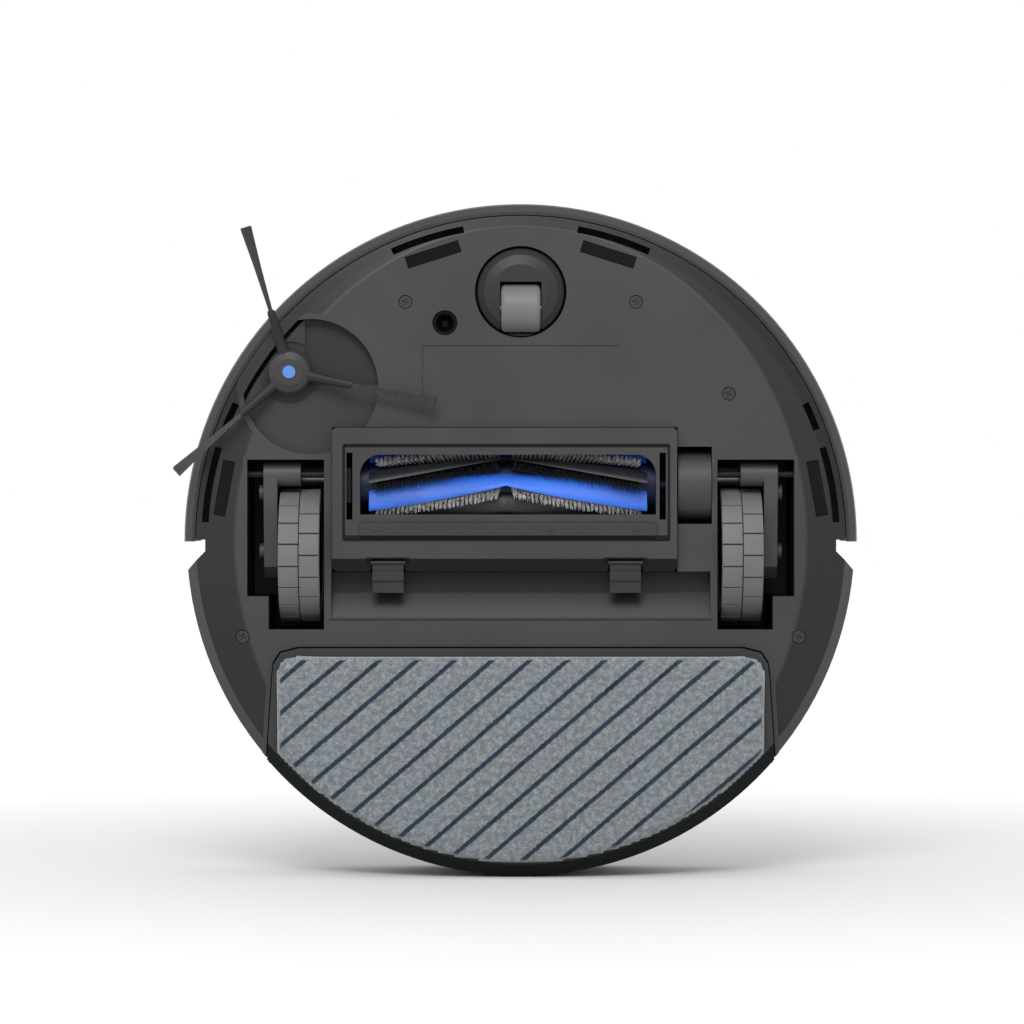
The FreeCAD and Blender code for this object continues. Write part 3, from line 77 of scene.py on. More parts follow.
# %% A socket that can do arithmetic
class Wire:
    """A shader socket: an expression on it adds the Math nodes."""

    def __init__(self, tree, socket):
        self.tree = tree
        self.socket = socket

    def node(self, kind, settings=None, inputs=None, output=0):
        return add_node(self.tree, kind, settings, inputs, output)

    def math(self, operation, *terms):
        return self.node("ShaderNodeMath", {"operation": operation}, dict(enumerate(terms)))

    def __add__(self, other):
        return self.math("ADD", self, other)

    def __radd__(self, other):
        return self.math("ADD", other, self)

    def __sub__(self, other):
        return self.math("SUBTRACT", self, other)

    def __rsub__(self, other):
        return self.math("SUBTRACT", other, self)

    def __mul__(self, other):
        return self.math("MULTIPLY", self, other)

    def __rmul__(self, other):
        return self.math("MULTIPLY", other, self)

    def __truediv__(self, other):
        return self.math("DIVIDE", self, other)

    def fraction(self):
        return self.math("FRACT", self)

    def magnitude(self):
        """The value without its sign."""
        return self.math("ABSOLUTE", self)

    def between(self, low, high):
        """0 below low and 1 above high, with a soft step between them."""
        inputs = {"Value": self, "From Min": low, "From Max": high}
        return self.node("ShaderNodeMapRange", {"interpolation_type": "SMOOTHSTEP"}, inputs)


def add_node(tree, kind, settings=None, inputs=None, output=0):
    """Any node: its settings are set first, then the values or links of its sockets."""
    made = tree.nodes.new(kind)
    for name, value in (settings or {}).items():
        if name == "stops":
            ramp = made.color_ramp
            while len(ramp.elements) < len(value):
                ramp.elements.new(1.0)
            for element, (place, colour) in zip(ramp.elements, value):
                element.position = place
                element.color = colour
        else:
            setattr(made, name, value)
    for key, value in (inputs or {}).items():
        if isinstance(value, Wire):
            tree.links.new(value.socket, made.inputs[key])
        else:
            made.inputs[key].default_value = value
    return Wire(tree, made.outputs[output])


def paint(red, green, blue):
    """A colour given as a paint chip's 0-255 values, in the light-linear form."""
    def linear(value):
        value /= 255
        return value / 12.92 if value <= 0.04045 else ((value + 0.055) / 1.055) ** 2.4
    return (linear(red), linear(green), linear(blue), 1.0)


print("shader helpers ready")

# %% [markdown]
# ## One recipe for every moulded part
# Injection-moulded plastic is never one flat colour. The mould is spark-eroded, so
# the skin has a grain of a few tenths of a millimetre, and the resin flows and cools
# unevenly, so colour and gloss drift over centimetres. Both are noise textures here:
# a fine one for the bump, a broad one for the drift. An image could do the same, but
# noise needs no unwrapping and stays sharp at any distance.

# %% The start of a finish
MIX_FACTOR, MIX_A, MIX_B, MIX_RESULT = 0, 6, 7, 2


class Finish:
    """A material under construction, with its shader and its object coordinates."""

    def __init__(self, name, **constants):
        self.material = bpy.data.materials.new(name)
        self.material.use_nodes = True
        self.tree = self.material.node_tree
        self.tree.nodes.clear()
        self.shader = self.tree.nodes.new("ShaderNodeBsdfPrincipled")
        out = self.tree.nodes.new("ShaderNodeOutputMaterial")
        self.tree.links.new(self.shader.outputs[0], out.inputs[0])
        for socket, value in constants.items():
            self.shader.inputs[socket.replace("_", " ")].default_value = value
        self.place = self.node("ShaderNodeTexCoord", output="Object")

    def node(self, kind, settings=None, inputs=None, output=0):
        return add_node(self.tree, kind, settings, inputs, output)

    def noise(self, size, detail=2.0, stretch=None):
        """Noise whose blotches are about `size` metres across."""
        place = self.place
        if stretch:
            place = self.node("ShaderNodeMapping", None, {"Vector": place, "Scale": stretch})
        inputs = {"Vector": place, "Scale": 0.5 / size, "Detail": detail}
        return self.node("ShaderNodeTexNoise", None, inputs)

    def blend(self, factor, first, second):
        """The first colour where factor is 0, the second where it is 1."""
        inputs = {MIX_FACTOR: factor, MIX_A: first, MIX_B: second}
        return self.node("ShaderNodeMix", {"data_type": "RGBA"}, inputs, MIX_RESULT)

    def axis(self, name):
        return self.node("ShaderNodeSeparateXYZ", None, {0: self.place}, name)

    def feed(self, socket, wire):
        self.tree.links.new(wire.socket, self.shader.inputs[socket])

    def colour(self, wire):
        self.feed("Base Color", wire)

    def rough(self, wire):
        self.feed("Roughness", wire)

    def bump(self, height, distance):
        made = self.node("ShaderNodeBump", None, {"Height": height, "Distance": distance})
        self.feed("Normal", made)


NEAR_BLACK = (0.001, 0.001, 0.001, 1.0)


def darker(colour, share):
    """A share of a colour's light; a share above 1 makes it brighter."""
    return tuple(value * share for value in colour[:3]) + (1.0,)


def moulded(name, colour, roughness=0.42, grain=0.00035, depth=0.00004, drift=0.12, shade=None,
            **constants):
    """Moulded plastic: fine spark grain, and a slow drift in colour and gloss."""
    finish = Finish(name, **constants)
    broad = finish.noise(0.03, 3.0)
    fine = finish.noise(grain, 2.0)
    speckle = (broad * 0.7 + fine * 0.3).between(0.3, 0.7)
    skin = finish.blend(speckle, darker(colour, 1 - drift), darker(colour, 1 + drift))
    # Painted shade: a shade function darkens the skin towards near black.
    if shade:
        skin = finish.blend(shade(finish), NEAR_BLACK, skin)
    finish.colour(skin)
    finish.rough(roughness + (broad - 0.5) * 0.12 + (fine - 0.5) * 0.08)
    finish.bump(fine, depth)
    return finish.material


print("moulded() ready")

# %% [markdown]
# ## Painted shade in the recesses
# Shade is painted into the skin colour here. The belly is darker in its recesses and
# corners, on its sloping skirt, on its steep outer edge and in a band at the front. The
# brush cover gets dark lines and a darker slope. The belly's shade follows the height of
# the surface and its distance from the middle, so these small functions turn a position
# into how bright the skin is.

# %% How bright the skin is at each place
FLAT_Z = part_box("base_chassis")[0][2]
RECESSES_END = (157 * MM, 159 * MM)
SKIRT_STARTS = (138 * MM, 150 * MM)
BAND_STARTS = (161 * MM, 163 * MM)
STEEP_STARTS = (167 * MM, 168 * MM)
COVER_LOW, COVER_HIGH = (Vector(corner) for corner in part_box("brush_cover_frame"))


def from_axis(finish):
    """Distance from the robot's upright axis."""
    flatten = {0: finish.place, 1: (1.0, 1.0, 0.0)}
    flat = finish.node("ShaderNodeVectorMath", {"operation": "MULTIPLY"}, flatten)
    return finish.node("ShaderNodeVectorMath", {"operation": "LENGTH"}, {0: flat}, "Value")


def within(wire, low, high, soft=0.15 * MM):
    """1 between two places on an axis and 0 outside them."""
    return wire.between(low - soft, low + soft) * (1 - wire.between(high - soft, high + soft))


def belly_painted_shade(finish):
    """Painted shade on the tray: dark recesses, a darker sloping skirt, a dark steep edge and front
    band.
    """
    height, radius = finish.axis("Z"), from_axis(finish)
    # Painted shade: each mask below darkens the skin where shade falls.
    recess = height.between(FLAT_Z + 0.6 * MM, FLAT_Z + 11 * MM)
    recess = recess * (1 - radius.between(*RECESSES_END))
    skirt = within(height, FLAT_Z + 0.3 * MM, FLAT_Z + 2.6 * MM) * radius.between(*SKIRT_STARTS)
    steep = height.between(FLAT_Z + 2.5 * MM, FLAT_Z + 2.8 * MM) * radius.between(*STEEP_STARTS)
    band = radius.between(*BAND_STARTS) * (1 - finish.axis("Y").between(-30 * MM, 0.0))
    return (1 - recess * 0.9) * (1 - skirt * 0.65) * (1 - steep * 0.65) * (1 - band * 0.5)


def cover_painted_shade(finish):
    """Painted shade on the brush cover: dark lines at its step, wiper, ends and latches, and a darker
    slope.
    """
    x, y = finish.axis("X"), finish.axis("Y")
    across = within(x, COVER_LOW.x + 5.9 * MM, COVER_HIGH.x - 4.1 * MM)
    step = within(y, COVER_LOW.y + 8.3 * MM, COVER_LOW.y + 10.2 * MM)
    wiper = within(y, -2.7 * MM, 0.4 * MM)
    ends = within(x, COVER_HIGH.x - 4.9 * MM, COVER_HIGH.x - 3.4 * MM)
    ends = ends + within(x, COVER_LOW.x + 5.2 * MM, COVER_LOW.x + 6.7 * MM)
    sides = ends * within(y, COVER_LOW.y + 9 * MM, 0.0)
    slope = y.between(COVER_HIGH.y - 6.9 * MM, COVER_HIGH.y - 6.3 * MM)
    # Painted shade: the lines and the slope darken the skin.
    shade = (1 - across * step * 0.9) * (1 - across * wiper * 0.92)
    shade = shade * (1 - slope * 0.85) * (1 - sides * 0.85)
    for side in ("left", "right"):
        low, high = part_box(f"cover_latch_{side}")
        notch = within(x, low[0] - 1 * MM, high[0] + 1 * MM)
        notch = notch * within(y, low[1] - 1.5 * MM, low[1] + 2.2 * MM)
        shade = shade * (1 - notch * 0.95)
    return shade


print("belly is flat at", round(FLAT_Z * 1000, 1), "mm")

# %% [markdown]
# ## The hard finishes
# Each finish is named for the part it is on. Greys that look alike in a drawing are
# different plastics: the belly is grained, the brush cover is a touch lighter and
# smoother, and the tank is polished smoke.

# %% Plastics, rubbers and metals
FINISHES = {
    "belly": moulded("belly_plastic", paint(51, 51, 52), 0.46, shade=belly_painted_shade,
                     Specular_IOR_Level=0.25),
    "shell": moulded("shell_plastic", paint(40, 40, 42), 0.34, drift=0.06, Specular_IOR_Level=0.35),
    "bumper": moulded("bumper_plastic", paint(38, 38, 39), 0.42, Specular_IOR_Level=0.3),
    "cover": moulded("cover_plastic", paint(56, 56, 57), 0.42, grain=0.0003, shade=cover_painted_shade,
                     Specular_IOR_Level=0.15),
    "latch": moulded("latch_plastic", paint(38, 38, 39), 0.42, Specular_IOR_Level=0.25),
    "cup": moulded("caster_cup_plastic", paint(34, 34, 35), 0.46, Specular_IOR_Level=0.25),
    "dark": moulded("dark_plastic", paint(17, 17, 18), 0.5, Specular_IOR_Level=0.25),
    "arm": moulded("arm_plastic", paint(58, 58, 59), 0.5, Specular_IOR_Level=0.3),
    "rim": moulded("wheel_rim_plastic", paint(34, 34, 35), 0.45, Specular_IOR_Level=0.3),
    "tank": moulded("tank_smoke", paint(10, 14, 14), 0.14, depth=0.000004, drift=0.2,
                    Coat_Weight=0.02, Specular_IOR_Level=0.05),
    "bin": moulded("bin_smoke", paint(56, 58, 62), 0.15, depth=0.000006),
    "window": moulded("window_gloss", paint(12, 12, 13), 0.2, depth=0.000003, drift=0.25,
                      Specular_IOR_Level=0.1),
    "caster": moulded("caster_plastic", paint(96, 96, 97), 0.5, drift=0.05, Specular_IOR_Level=0.3),
    "button": moulded("button_plastic", paint(130, 131, 133), 0.3, drift=0.04),
    "hub": moulded("hub_plastic", paint(46, 46, 47), 0.45, Specular_IOR_Level=0.25),
    "screw_cap": moulded("screw_cap_plastic", paint(66, 112, 178), 0.4),
    "wrap": moulded("battery_wrap", paint(28, 56, 112), 0.3),
    "board": moulded("solder_mask", paint(18, 76, 46), 0.3),
    "seal": moulded("seal_rubber", paint(48, 48, 49), 0.6, grain=0.0006, Specular_IOR_Level=0.2),
    "core": moulded("roller_tube", paint(12, 20, 46), 0.5, Specular_IOR_Level=0.2),
    "filter": moulded("filter_paper", paint(190, 189, 184), 0.9, grain=0.0012, depth=0.0002),
}


def brushed(name, colour, roughness=0.32):
    """Turned or drawn metal: the fine lines run one way."""
    finish = Finish(name, Metallic=1.0)
    lines = finish.noise(0.0008, 2.0, stretch=(0.15, 1.0, 1.0))
    finish.colour(finish.blend(lines, darker(colour, 0.8), colour))
    finish.rough(roughness + (lines - 0.5) * 0.25)
    finish.bump(lines, 0.00002)
    return finish.material


def plate_finish():
    """The plate that holds the pad: body grey in front, polished smoke on the rear rim."""
    finish = Finish("mop_plate_plastic", Coat_Weight=0.02, Specular_IOR_Level=0.1)
    rim = from_axis(finish).between(166.6 * MM, 167.4 * MM)
    broad = finish.noise(0.03, 3.0)
    fine = finish.noise(0.0004)
    body = finish.blend(broad, paint(46, 46, 47), paint(54, 54, 55))
    smoke = finish.blend(broad, paint(5, 8, 8), paint(9, 13, 13))
    finish.colour(finish.blend(rim, body, smoke))
    finish.rough(0.45 - rim * 0.27 + fine * 0.04)
    finish.bump(fine * (1 - rim), 0.00004)
    return finish.material


FINISHES["plate"] = plate_finish()
FINISHES["steel"] = brushed("steel", paint(178, 178, 180))
FINISHES["zinc"] = brushed("screw_zinc", paint(66, 66, 68), 0.5)
print("finishes:", len(FINISHES))

# %% [markdown]
# ## Dressing the CAD parts
# A CAD part is never moved or reshaped here. It only gets its finish, by giving its
# mesh one material. A table from finish to part names keeps this to one short loop,
# and anything left out would show up at once in the printed count.

# %% Give each part its finish
DRESS = {
    "belly": ["base_chassis", "brush_gearbox"],
    "shell": ["upper_shell", "lid_panel"],
    "bumper": ["bumper_shell", "lidar_cover"],
    "cover": ["brush_cover_frame"],
    "cup": ["caster_cup"],
    "latch": ["cover_latch_left", "cover_latch_right"],
    "dark": ["brush_housing", "fan_housing", "fan_impeller", "lidar_base", "lidar_rotor",
             "swing_pins", "roller_bearing", "bumper_switches", "speaker", "tank_latch_left",
             "tank_latch_right", "tank_release_button", "bin_handle"],
    "arm": ["drive_gearbox_left", "drive_gearbox_right"],
    "plate": ["mop_plate"],
    "rim": ["wheel_hub_left", "wheel_hub_right"],
    "tank": ["water_tank"],
    "bin": ["dust_bin"],
    "window": ["drop_sensor_windows", "bumper_lens", "carpet_sensor"],
    "caster": ["caster_wheel"],
    "button": ["start_button"],
    "hub": ["side_brush_hub"],
    "screw_cap": ["side_brush_screw"],
    "wrap": ["battery_pack"],
    "board": ["main_board"],
    "seal": ["squeegee_strip", "tank_cap"],
    "core": ["roller_core"],
    "filter": ["dust_filter"],
    "zinc": ["base_screws", "squeegee_rivets"],
    "steel": ["caster_axle", "bumper_springs", "suspension_springs", "lid_hinge_pin",
              "brush_motor", "drive_motor_left", "drive_motor_right", "side_brush_motor"],
}
for finish_name, parts in DRESS.items():
    for part in parts:
        NODES[part].data.materials.clear()
        NODES[part].data.materials.append(FINISHES[finish_name])
print("dressed:", sum(len(parts) for parts in DRESS.values()))

# %% [markdown]
# ## Growing geometry with nodes
# Treads, tufts and filaments are one small shape repeated many times. A Geometry
# Nodes tree does that in one place: it has named inputs for its sizes, spreads the
# shape, turns the copies into real mesh and sets the finish. The helpers below put
# data in the scene, run such a tree on an object and keep only the finished mesh.


# %% Objects from data
def link(name, data):
    """A new object in the scene, standing on the origin."""
    made = bpy.data.objects.new(name, data)
    bpy.context.scene.collection.objects.link(made)
    return made


def evaluated_mesh(piece):
    """A plain copy of a piece's mesh with its modifiers worked out."""
    bpy.context.view_layer.update()
    graph = bpy.context.evaluated_depsgraph_get()
    return bpy.data.meshes.new_from_object(piece.evaluated_get(graph))


print("object helpers ready")


# %% Build a tree, run it, keep the mesh
class Growth:
    """A Geometry Nodes tree under construction."""

    def __init__(self, name, **sizes):
        self.tree = bpy.data.node_groups.new(name, "GeometryNodeTree")
        face = self.tree.interface
        face.new_socket("Geometry", in_out="INPUT", socket_type="NodeSocketGeometry")
        self.sockets = {}
        for label, value in sizes.items():
            kind = "NodeSocketInt" if isinstance(value, int) else "NodeSocketFloat"
            socket = face.new_socket(label, in_out="INPUT", socket_type=kind)
            self.sockets[label] = socket.identifier
        face.new_socket("Geometry", in_out="OUTPUT", socket_type="NodeSocketGeometry")
        self.sizes = sizes
        self.source = self.tree.nodes.new("NodeGroupInput")
        self.result = self.tree.nodes.new("NodeGroupOutput")

    def size(self, label):
        return Wire(self.tree, self.source.outputs[label])

    def start(self):
        return Wire(self.tree, self.source.outputs["Geometry"])

    def node(self, kind, settings=None, inputs=None, output=0):
        return add_node(self.tree, kind, settings, inputs, output)

    def finish(self, geometry, material):
        real = self.node("GeometryNodeRealizeInstances", None, {0: geometry})
        inputs = {"Geometry": real, "Material": material}
        dressed = self.node("GeometryNodeSetMaterial", None, inputs)
        self.tree.links.new(dressed.socket, self.result.inputs[0])

    def grow(self, seed_mesh, name):
        """Run the tree on a mesh and return a plain object of the result."""
        holder = link(name + "_seed", seed_mesh)
        modifier = holder.modifiers.new("grow", "NODES")
        modifier.node_group = self.tree
        for label, identifier in self.sockets.items():
            modifier[identifier] = self.sizes[label]
        shape = evaluated_mesh(holder)
        bpy.data.objects.remove(holder)
        shape.name = name
        return link(name, shape)


print("tree helper ready")


# %% Meshes written point by point
def written_mesh(name, bm):
    """Turn a finished bmesh into a mesh."""
    shape = bpy.data.meshes.new(name)
    bm.to_mesh(shape)
    bm.free()
    return shape


def mesh_object(name, build, *materials, merge=1e-7):
    """A new object whose mesh is filled in by build(bm)."""
    bm = bmesh.new()
    build(bm)
    bmesh.ops.remove_doubles(bm, verts=bm.verts, dist=merge)
    bmesh.ops.recalc_face_normals(bm, faces=bm.faces)
    shape = written_mesh(name, bm)
    for material in materials:
        shape.materials.append(material)
    return link(name, shape)


def smooth(piece, angle):
    """Smooth shading, with a crease where faces meet at more than `angle` degrees."""
    for face in piece.data.polygons:
        face.use_smooth = True
    piece.data.set_sharp_from_angle(angle=math.radians(angle))


def rings_to_faces(bm, rings, closed_ends=True):
    """Skin a list of equal rings of points into a closed tube."""
    rows = [[bm.verts.new(point) for point in ring] for ring in rings]
    count = len(rows[0])
    for near, far in zip(rows, rows[1:]):
        for index in range(count):
            after = (index + 1) % count
            bm.faces.new((near[index], near[after], far[after], far[index]))
    if closed_ends:
        bm.faces.new(list(reversed(rows[0])))
        bm.faces.new(rows[-1])


print("geometry helpers ready")

# %% [markdown]
# ## Tyres
# The drive tyres are soft rubber with two staggered columns of square lugs, which
# climb onto a carpet edge. The tread could be cut from a ring, but placing one
# rounded lug again and again round a circle is closer to how the mould is made.

# %% Rubber finish and sizes of the tread
tyre_rubber = moulded("tyre_rubber", paint(94, 94, 95), 0.62, grain=0.0005, depth=0.00008,
                      drift=0.1, Specular_IOR_Level=0.25)
LUGS = 19
LUG_HEIGHT = 1.9 * MM
LUG_LENGTH = 10.7 * MM
BAND_STEPS = 96
print(tyre_rubber.name, "with", 2 * LUGS, "lugs on each tyre")


# %% One lug, and a tree that sets a column of them round a circle
def lug_mesh(width, length, height):
    """A block with bevelled upper edges, standing on z = 0 and centred on X and Y."""
    bm = bmesh.new()
    bmesh.ops.create_cube(bm, size=1.0)
    bmesh.ops.scale(bm, vec=(width, length, height), verts=bm.verts)
    bmesh.ops.translate(bm, vec=(0, 0, height / 2), verts=bm.verts)
    upper = [edge for edge in bm.edges if all(vert.co.z > height * 0.9 for vert in edge.verts)]
    bmesh.ops.bevel(bm, geom=upper, offset=height * 0.14, segments=2, profile=0.6, affect="EDGES")
    return written_mesh("lug", bm)


def lug_column(name, radius, width):
    """A column of lugs round the Z axis, with their tops outwards."""
    growth = Growth(name, Lugs=LUGS, Radius=radius)
    circle = growth.node("GeometryNodeMeshCircle", {"fill_type": "NONE"},
                         {"Vertices": growth.size("Lugs"), "Radius": growth.size("Radius")})
    lug = bpy.data.objects.new("lug", lug_mesh(width, LUG_LENGTH, LUG_HEIGHT - 0.1 * MM))
    shape = growth.node("GeometryNodeObjectInfo", None, {"Object": lug}, "Geometry")
    spot = growth.node("GeometryNodeInputPosition")
    outward = growth.node("FunctionNodeAlignRotationToVector", {"axis": "Z"}, {"Vector": spot})
    aim = growth.node("FunctionNodeAlignRotationToVector", {"axis": "X", "pivot_axis": "Z"},
                      {"Rotation": outward, "Vector": (0.0, 0.0, 1.0)})
    placed = growth.node("GeometryNodeInstanceOnPoints", None,
                         {"Points": circle, "Instance": shape, "Rotation": aim})
    growth.finish(placed, tyre_rubber)
    column = growth.grow(bpy.data.meshes.new("empty"), name)
    bpy.data.objects.remove(lug)
    return column


# %% A band for the lugs to stand on
def band_profile(inner, outer, half):
    """The band's section as (radius, place along the axle), with a groove in the middle."""
    edge, shoulder, corner, groove = 0.4 * MM, 1.2 * MM, 1 * MM, 0.3 * MM
    return [(inner, -half + edge), (inner + corner, -half), (outer - shoulder, -half),
            (outer, -half + corner), (outer, -groove), (outer - 0.6 * MM, 0), (outer, groove),
            (outer, half - corner), (outer - shoulder, half), (inner + corner, half),
            (inner, half - edge)]


def tyre(side):
    """Two staggered columns of lugs round a band, in the place of the CAD tyre."""
    node = f"wheel_tyre_{side}"
    low, high = (Vector(corner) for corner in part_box(node))
    hub_low, hub_high = (Vector(corner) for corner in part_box(f"wheel_hub_{side}"))
    centre = (low + high) / 2
    half = (high.x - low.x) / 2
    band_r = (high.z - low.z) / 2 - LUG_HEIGHT + 0.1 * MM

    def build(bm):
        for column, way in enumerate((-1, 1)):
            lugs = lug_column(f"tread_{side}_{column}", band_r - 0.4 * MM, half - 0.45 * MM)
            shift = way * (half / 2 + 0.02 * MM)
            stagger = Matrix.Rotation(column * math.pi / LUGS, 4, "Z")
            turned = Matrix.Rotation(math.pi / 2, 4, "Y") @ stagger
            lugs.data.transform(Matrix.Translation(centre + Vector((shift, 0, 0))) @ turned)
            bm.from_mesh(lugs.data)
            bpy.data.objects.remove(lugs)
        profile = band_profile((hub_high.z - hub_low.z) / 2, band_r, half)
        rings = []
        for step in range(BAND_STEPS + 1):
            angle = 2 * math.pi * step / BAND_STEPS
            up, out = math.sin(angle), math.cos(angle)
            rings.append([centre + Vector((along, radius * out, radius * up))
                          for radius, along in profile])
        rings_to_faces(bm, rings, closed_ends=False)

    piece = mesh_object(f"tyre_{side}", build, tyre_rubber, merge=1e-6)
    smooth(piece, 35)
    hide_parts(node)
    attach(piece, f"drive_wheel_{side}")
    return piece


for wheel_side in ("left", "right"):
    made = tyre(wheel_side)
    print(made.name, len(made.data.polygons), "faces")

# %% [markdown]
# ## The main roller
# The roller has V-shaped rubber blades, blue and black by turns, and rows of nylon
# tufts between them. The black is partly the rubber's own colour and partly painted
# shade for the darker front of the roller, where the cover's shadow falls. The blades
# beat the carpet and the tufts sweep it. Both halves of each V lean towards the middle,
# so that hair is carried to the suction mouth. A blade is a thin sheet swept along a
# helix, which is easiest to write as rings of points. The tufts are filaments, so
# Geometry Nodes place them along the same helix; those behind a black blade are black
# too, partly as painted shade.

# %% Sizes of the roller, read from the frame
core_low, core_high = (Vector(corner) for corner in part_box("roller_core"))
fin_low, fin_high = (Vector(corner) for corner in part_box("roller_fins"))
axis_y = (core_low.y + core_high.y) / 2
axis_z = (core_low.z + core_high.z) / 2
REACH = (fin_high.z - fin_low.z) / 2
CORE_R = (core_high.z - core_low.z) / 2 - 1.0 * MM
MIDDLE = (fin_low.x + fin_high.x) / 2 - 1.05 * MM
BLADES = 8
PITCH = 2 * math.pi / BLADES
TWIST = math.radians(42)
FIRST_ROOT = math.radians(204)
FIRST_TIP = math.radians(181)
BLADE_THICK = 1.7 * MM
BLADE_STEPS = 36
BLADE_RISES = (0.0, 0.2, 0.45, 0.7, 0.9, 1.0)
print("roller reach", round(REACH * 1000, 1), "mm")


# %% Rubber for the blades
def rubber(name, colour, roughness=0.5):
    """Soft moulded rubber: a waxy skin with faint streaks along the blade."""
    finish = Finish(name, Subsurface_Weight=0.08, Subsurface_Radius=(0.002, 0.002, 0.004),
                    Specular_IOR_Level=0.4)
    streak = finish.noise(0.004, 3.0, stretch=(0.2, 1.0, 1.0))
    fine = finish.noise(0.0006)
    dull, bright = darker(colour, 0.72), darker(colour, 1.12)
    finish.colour(finish.blend(streak.between(0.3, 0.7), dull, bright))
    finish.rough(roughness + (fine - 0.5) * 0.2)
    finish.bump(fine, 0.00006)
    return finish.material


blue_rubber = rubber("blue_rubber", paint(38, 92, 190))
# Black rubber for every second blade: partly its own colour, partly painted shade.
black_and_shade_rubber = rubber("black_and_shade_rubber", paint(16, 17, 22))
print(blue_rubber.name, black_and_shade_rubber.name)


# %% The helix that a blade follows
def roller_point(x, angle, radius):
    """A point on the roller: angle 0 looks up and grows towards the rear."""
    return Vector((x, axis_y + radius * math.sin(angle), axis_z + radius * math.cos(angle)))


def root_angle(share):
    """Where a V-shaped blade is set in the tube, at a share of the way to its end."""
    return FIRST_ROOT - TWIST * share ** 2.0


def tip_angle(share):
    """Where the same blade's edge is: it leans back, most of all near the middle."""
    return FIRST_TIP - TWIST * share ** 0.9


print("a blade turns", round(math.degrees(TWIST)), "degrees from its middle to its end")


# %% The blades
def blade(bm, row, end):
    """Half a V: a curved sheet from the roller's middle to one end."""
    rings = []
    for step in range(BLADE_STEPS + 1):
        share = step / BLADE_STEPS
        x = MIDDLE + (end - MIDDLE) * share
        root = root_angle(share) + row * PITCH
        lean = tip_angle(share) - root_angle(share)
        spine = []
        for rise in BLADE_RISES:
            radius = CORE_R - 0.3 * MM + (REACH - CORE_R + 0.1 * MM) * rise
            spine.append((root + lean * rise ** 1.2, radius, BLADE_THICK * (1.35 - 0.75 * rise)))
        front = [roller_point(x, angle - thick / 2 / radius, radius) for angle, radius, thick in spine]
        spine.reverse()
        back = [roller_point(x, angle + thick / 2 / radius, radius) for angle, radius, thick in spine]
        rings.append(front + back)
    rings_to_faces(bm, rings)


def build_blades(bm):
    """All blades, with the finish of every second one swapped to black, which is partly painted shade.
    """
    for row in range(BLADES):
        before = set(bm.faces)
        for end in (fin_low.x, fin_high.x):
            blade(bm, row, end)
        for face in set(bm.faces) - before:
            face.material_index = row % 2


blades = mesh_object("roller_blades", build_blades, blue_rubber, black_and_shade_rubber)
smooth(blades, 50)
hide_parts("roller_fins")
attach(blades, "main_roller")
print("blades:", len(blades.data.polygons), "faces")

# %% [markdown]
# ## Tufts on the roller
# Each tuft is a bundle of nylon filaments set in the tube. A filament is a thin
# four-sided tapered stick: a few faces are enough, because there are hundreds. The
# seed mesh holds one point for each filament, with its direction, its length and
# whether it is black as attributes, and the tree puts a stick on every point.


# %% A stick, and a tree that plants it
def stick_object(length, radius, taper):
    """A four-sided filament standing on the origin along +Z."""
    bm = bmesh.new()
    rings = []
    for rise, share in ((0.0, 1.0), (0.5, 0.95), (1.0, taper)):
        wide = radius * share
        rings.append([Vector((wide * math.cos(turn), wide * math.sin(turn), length * rise))
                      for turn in (step * math.pi / 2 for step in range(4))])
    rings_to_faces(bm, rings)
    bmesh.ops.recalc_face_normals(bm, faces=bm.faces)
    return bpy.data.objects.new("stick", written_mesh("stick", bm))


def plant(name, spots, radius, material, taper=0.6):
    """Filaments at (root, tip, black) spots, grown by Geometry Nodes from one stick."""
    seed = bpy.data.meshes.new(name + "_roots")
    seed.from_pydata([root for root, _, _ in spots], [], [])
    for label, kind in (("aim", "FLOAT_VECTOR"), ("reach", "FLOAT"), ("black", "FLOAT")):
        seed.attributes.new(label, kind, "POINT")
    for index, (root, tip, black) in enumerate(spots):
        seed.attributes["aim"].data[index].vector = (tip - root).normalized()
        seed.attributes["reach"].data[index].value = (tip - root).length
        seed.attributes["black"].data[index].value = black
    growth = Growth(name, Thickness=1.0)
    stick = stick_object(1.0, radius, taper)
    shape = growth.node("GeometryNodeObjectInfo", None, {"Object": stick}, "Geometry")
    read = "GeometryNodeInputNamedAttribute"
    direction = growth.node(read, {"data_type": "FLOAT_VECTOR"}, {"Name": "aim"})
    length = growth.node(read, {"data_type": "FLOAT"}, {"Name": "reach"})
    turned = growth.node("FunctionNodeAlignRotationToVector", {"axis": "Z"}, {"Vector": direction})
    thickness = growth.size("Thickness")
    scale = growth.node("ShaderNodeCombineXYZ", None, {"X": thickness, "Y": thickness, "Z": length})
    inputs = {"Points": growth.start(), "Instance": shape, "Rotation": turned, "Scale": scale}
    growth.finish(growth.node("GeometryNodeInstanceOnPoints", None, inputs), material)
    piece = growth.grow(seed, name)
    bpy.data.objects.remove(stick)
    return piece


def nylon(name, colour, contrast=0.28):
    """Crimped nylon: each filament is a little lighter or darker than the next."""
    finish = Finish(name, Specular_IOR_Level=0.3)
    patch = finish.noise(0.0012, 1.0)
    dull, bright = darker(colour, 1 - contrast), darker(colour, 1 + contrast)
    grey = finish.blend(patch.between(0.35, 0.65), dull, bright)
    # The black attribute turns a filament black: partly its own colour, partly painted shade.
    black = finish.node("ShaderNodeAttribute", {"attribute_name": "black"}, output="Fac")
    finish.colour(finish.blend(black, grey, darker(colour, 0.04)))
    finish.rough(0.45 + patch * 0.15)
    return finish.material


print("plant() ready")

# %% Rows of tufts
random.seed(7)
TUFT_START = 3 * MM
TUFT_MARGIN = 5 * MM
TUFT_STEP = 2.2 * MM
TUFT_SLANT = 2.2 * MM
TUFT_FILAMENTS = 24
ROOTS_AHEAD = math.radians(26)
TIPS_AHEAD = math.radians(13)


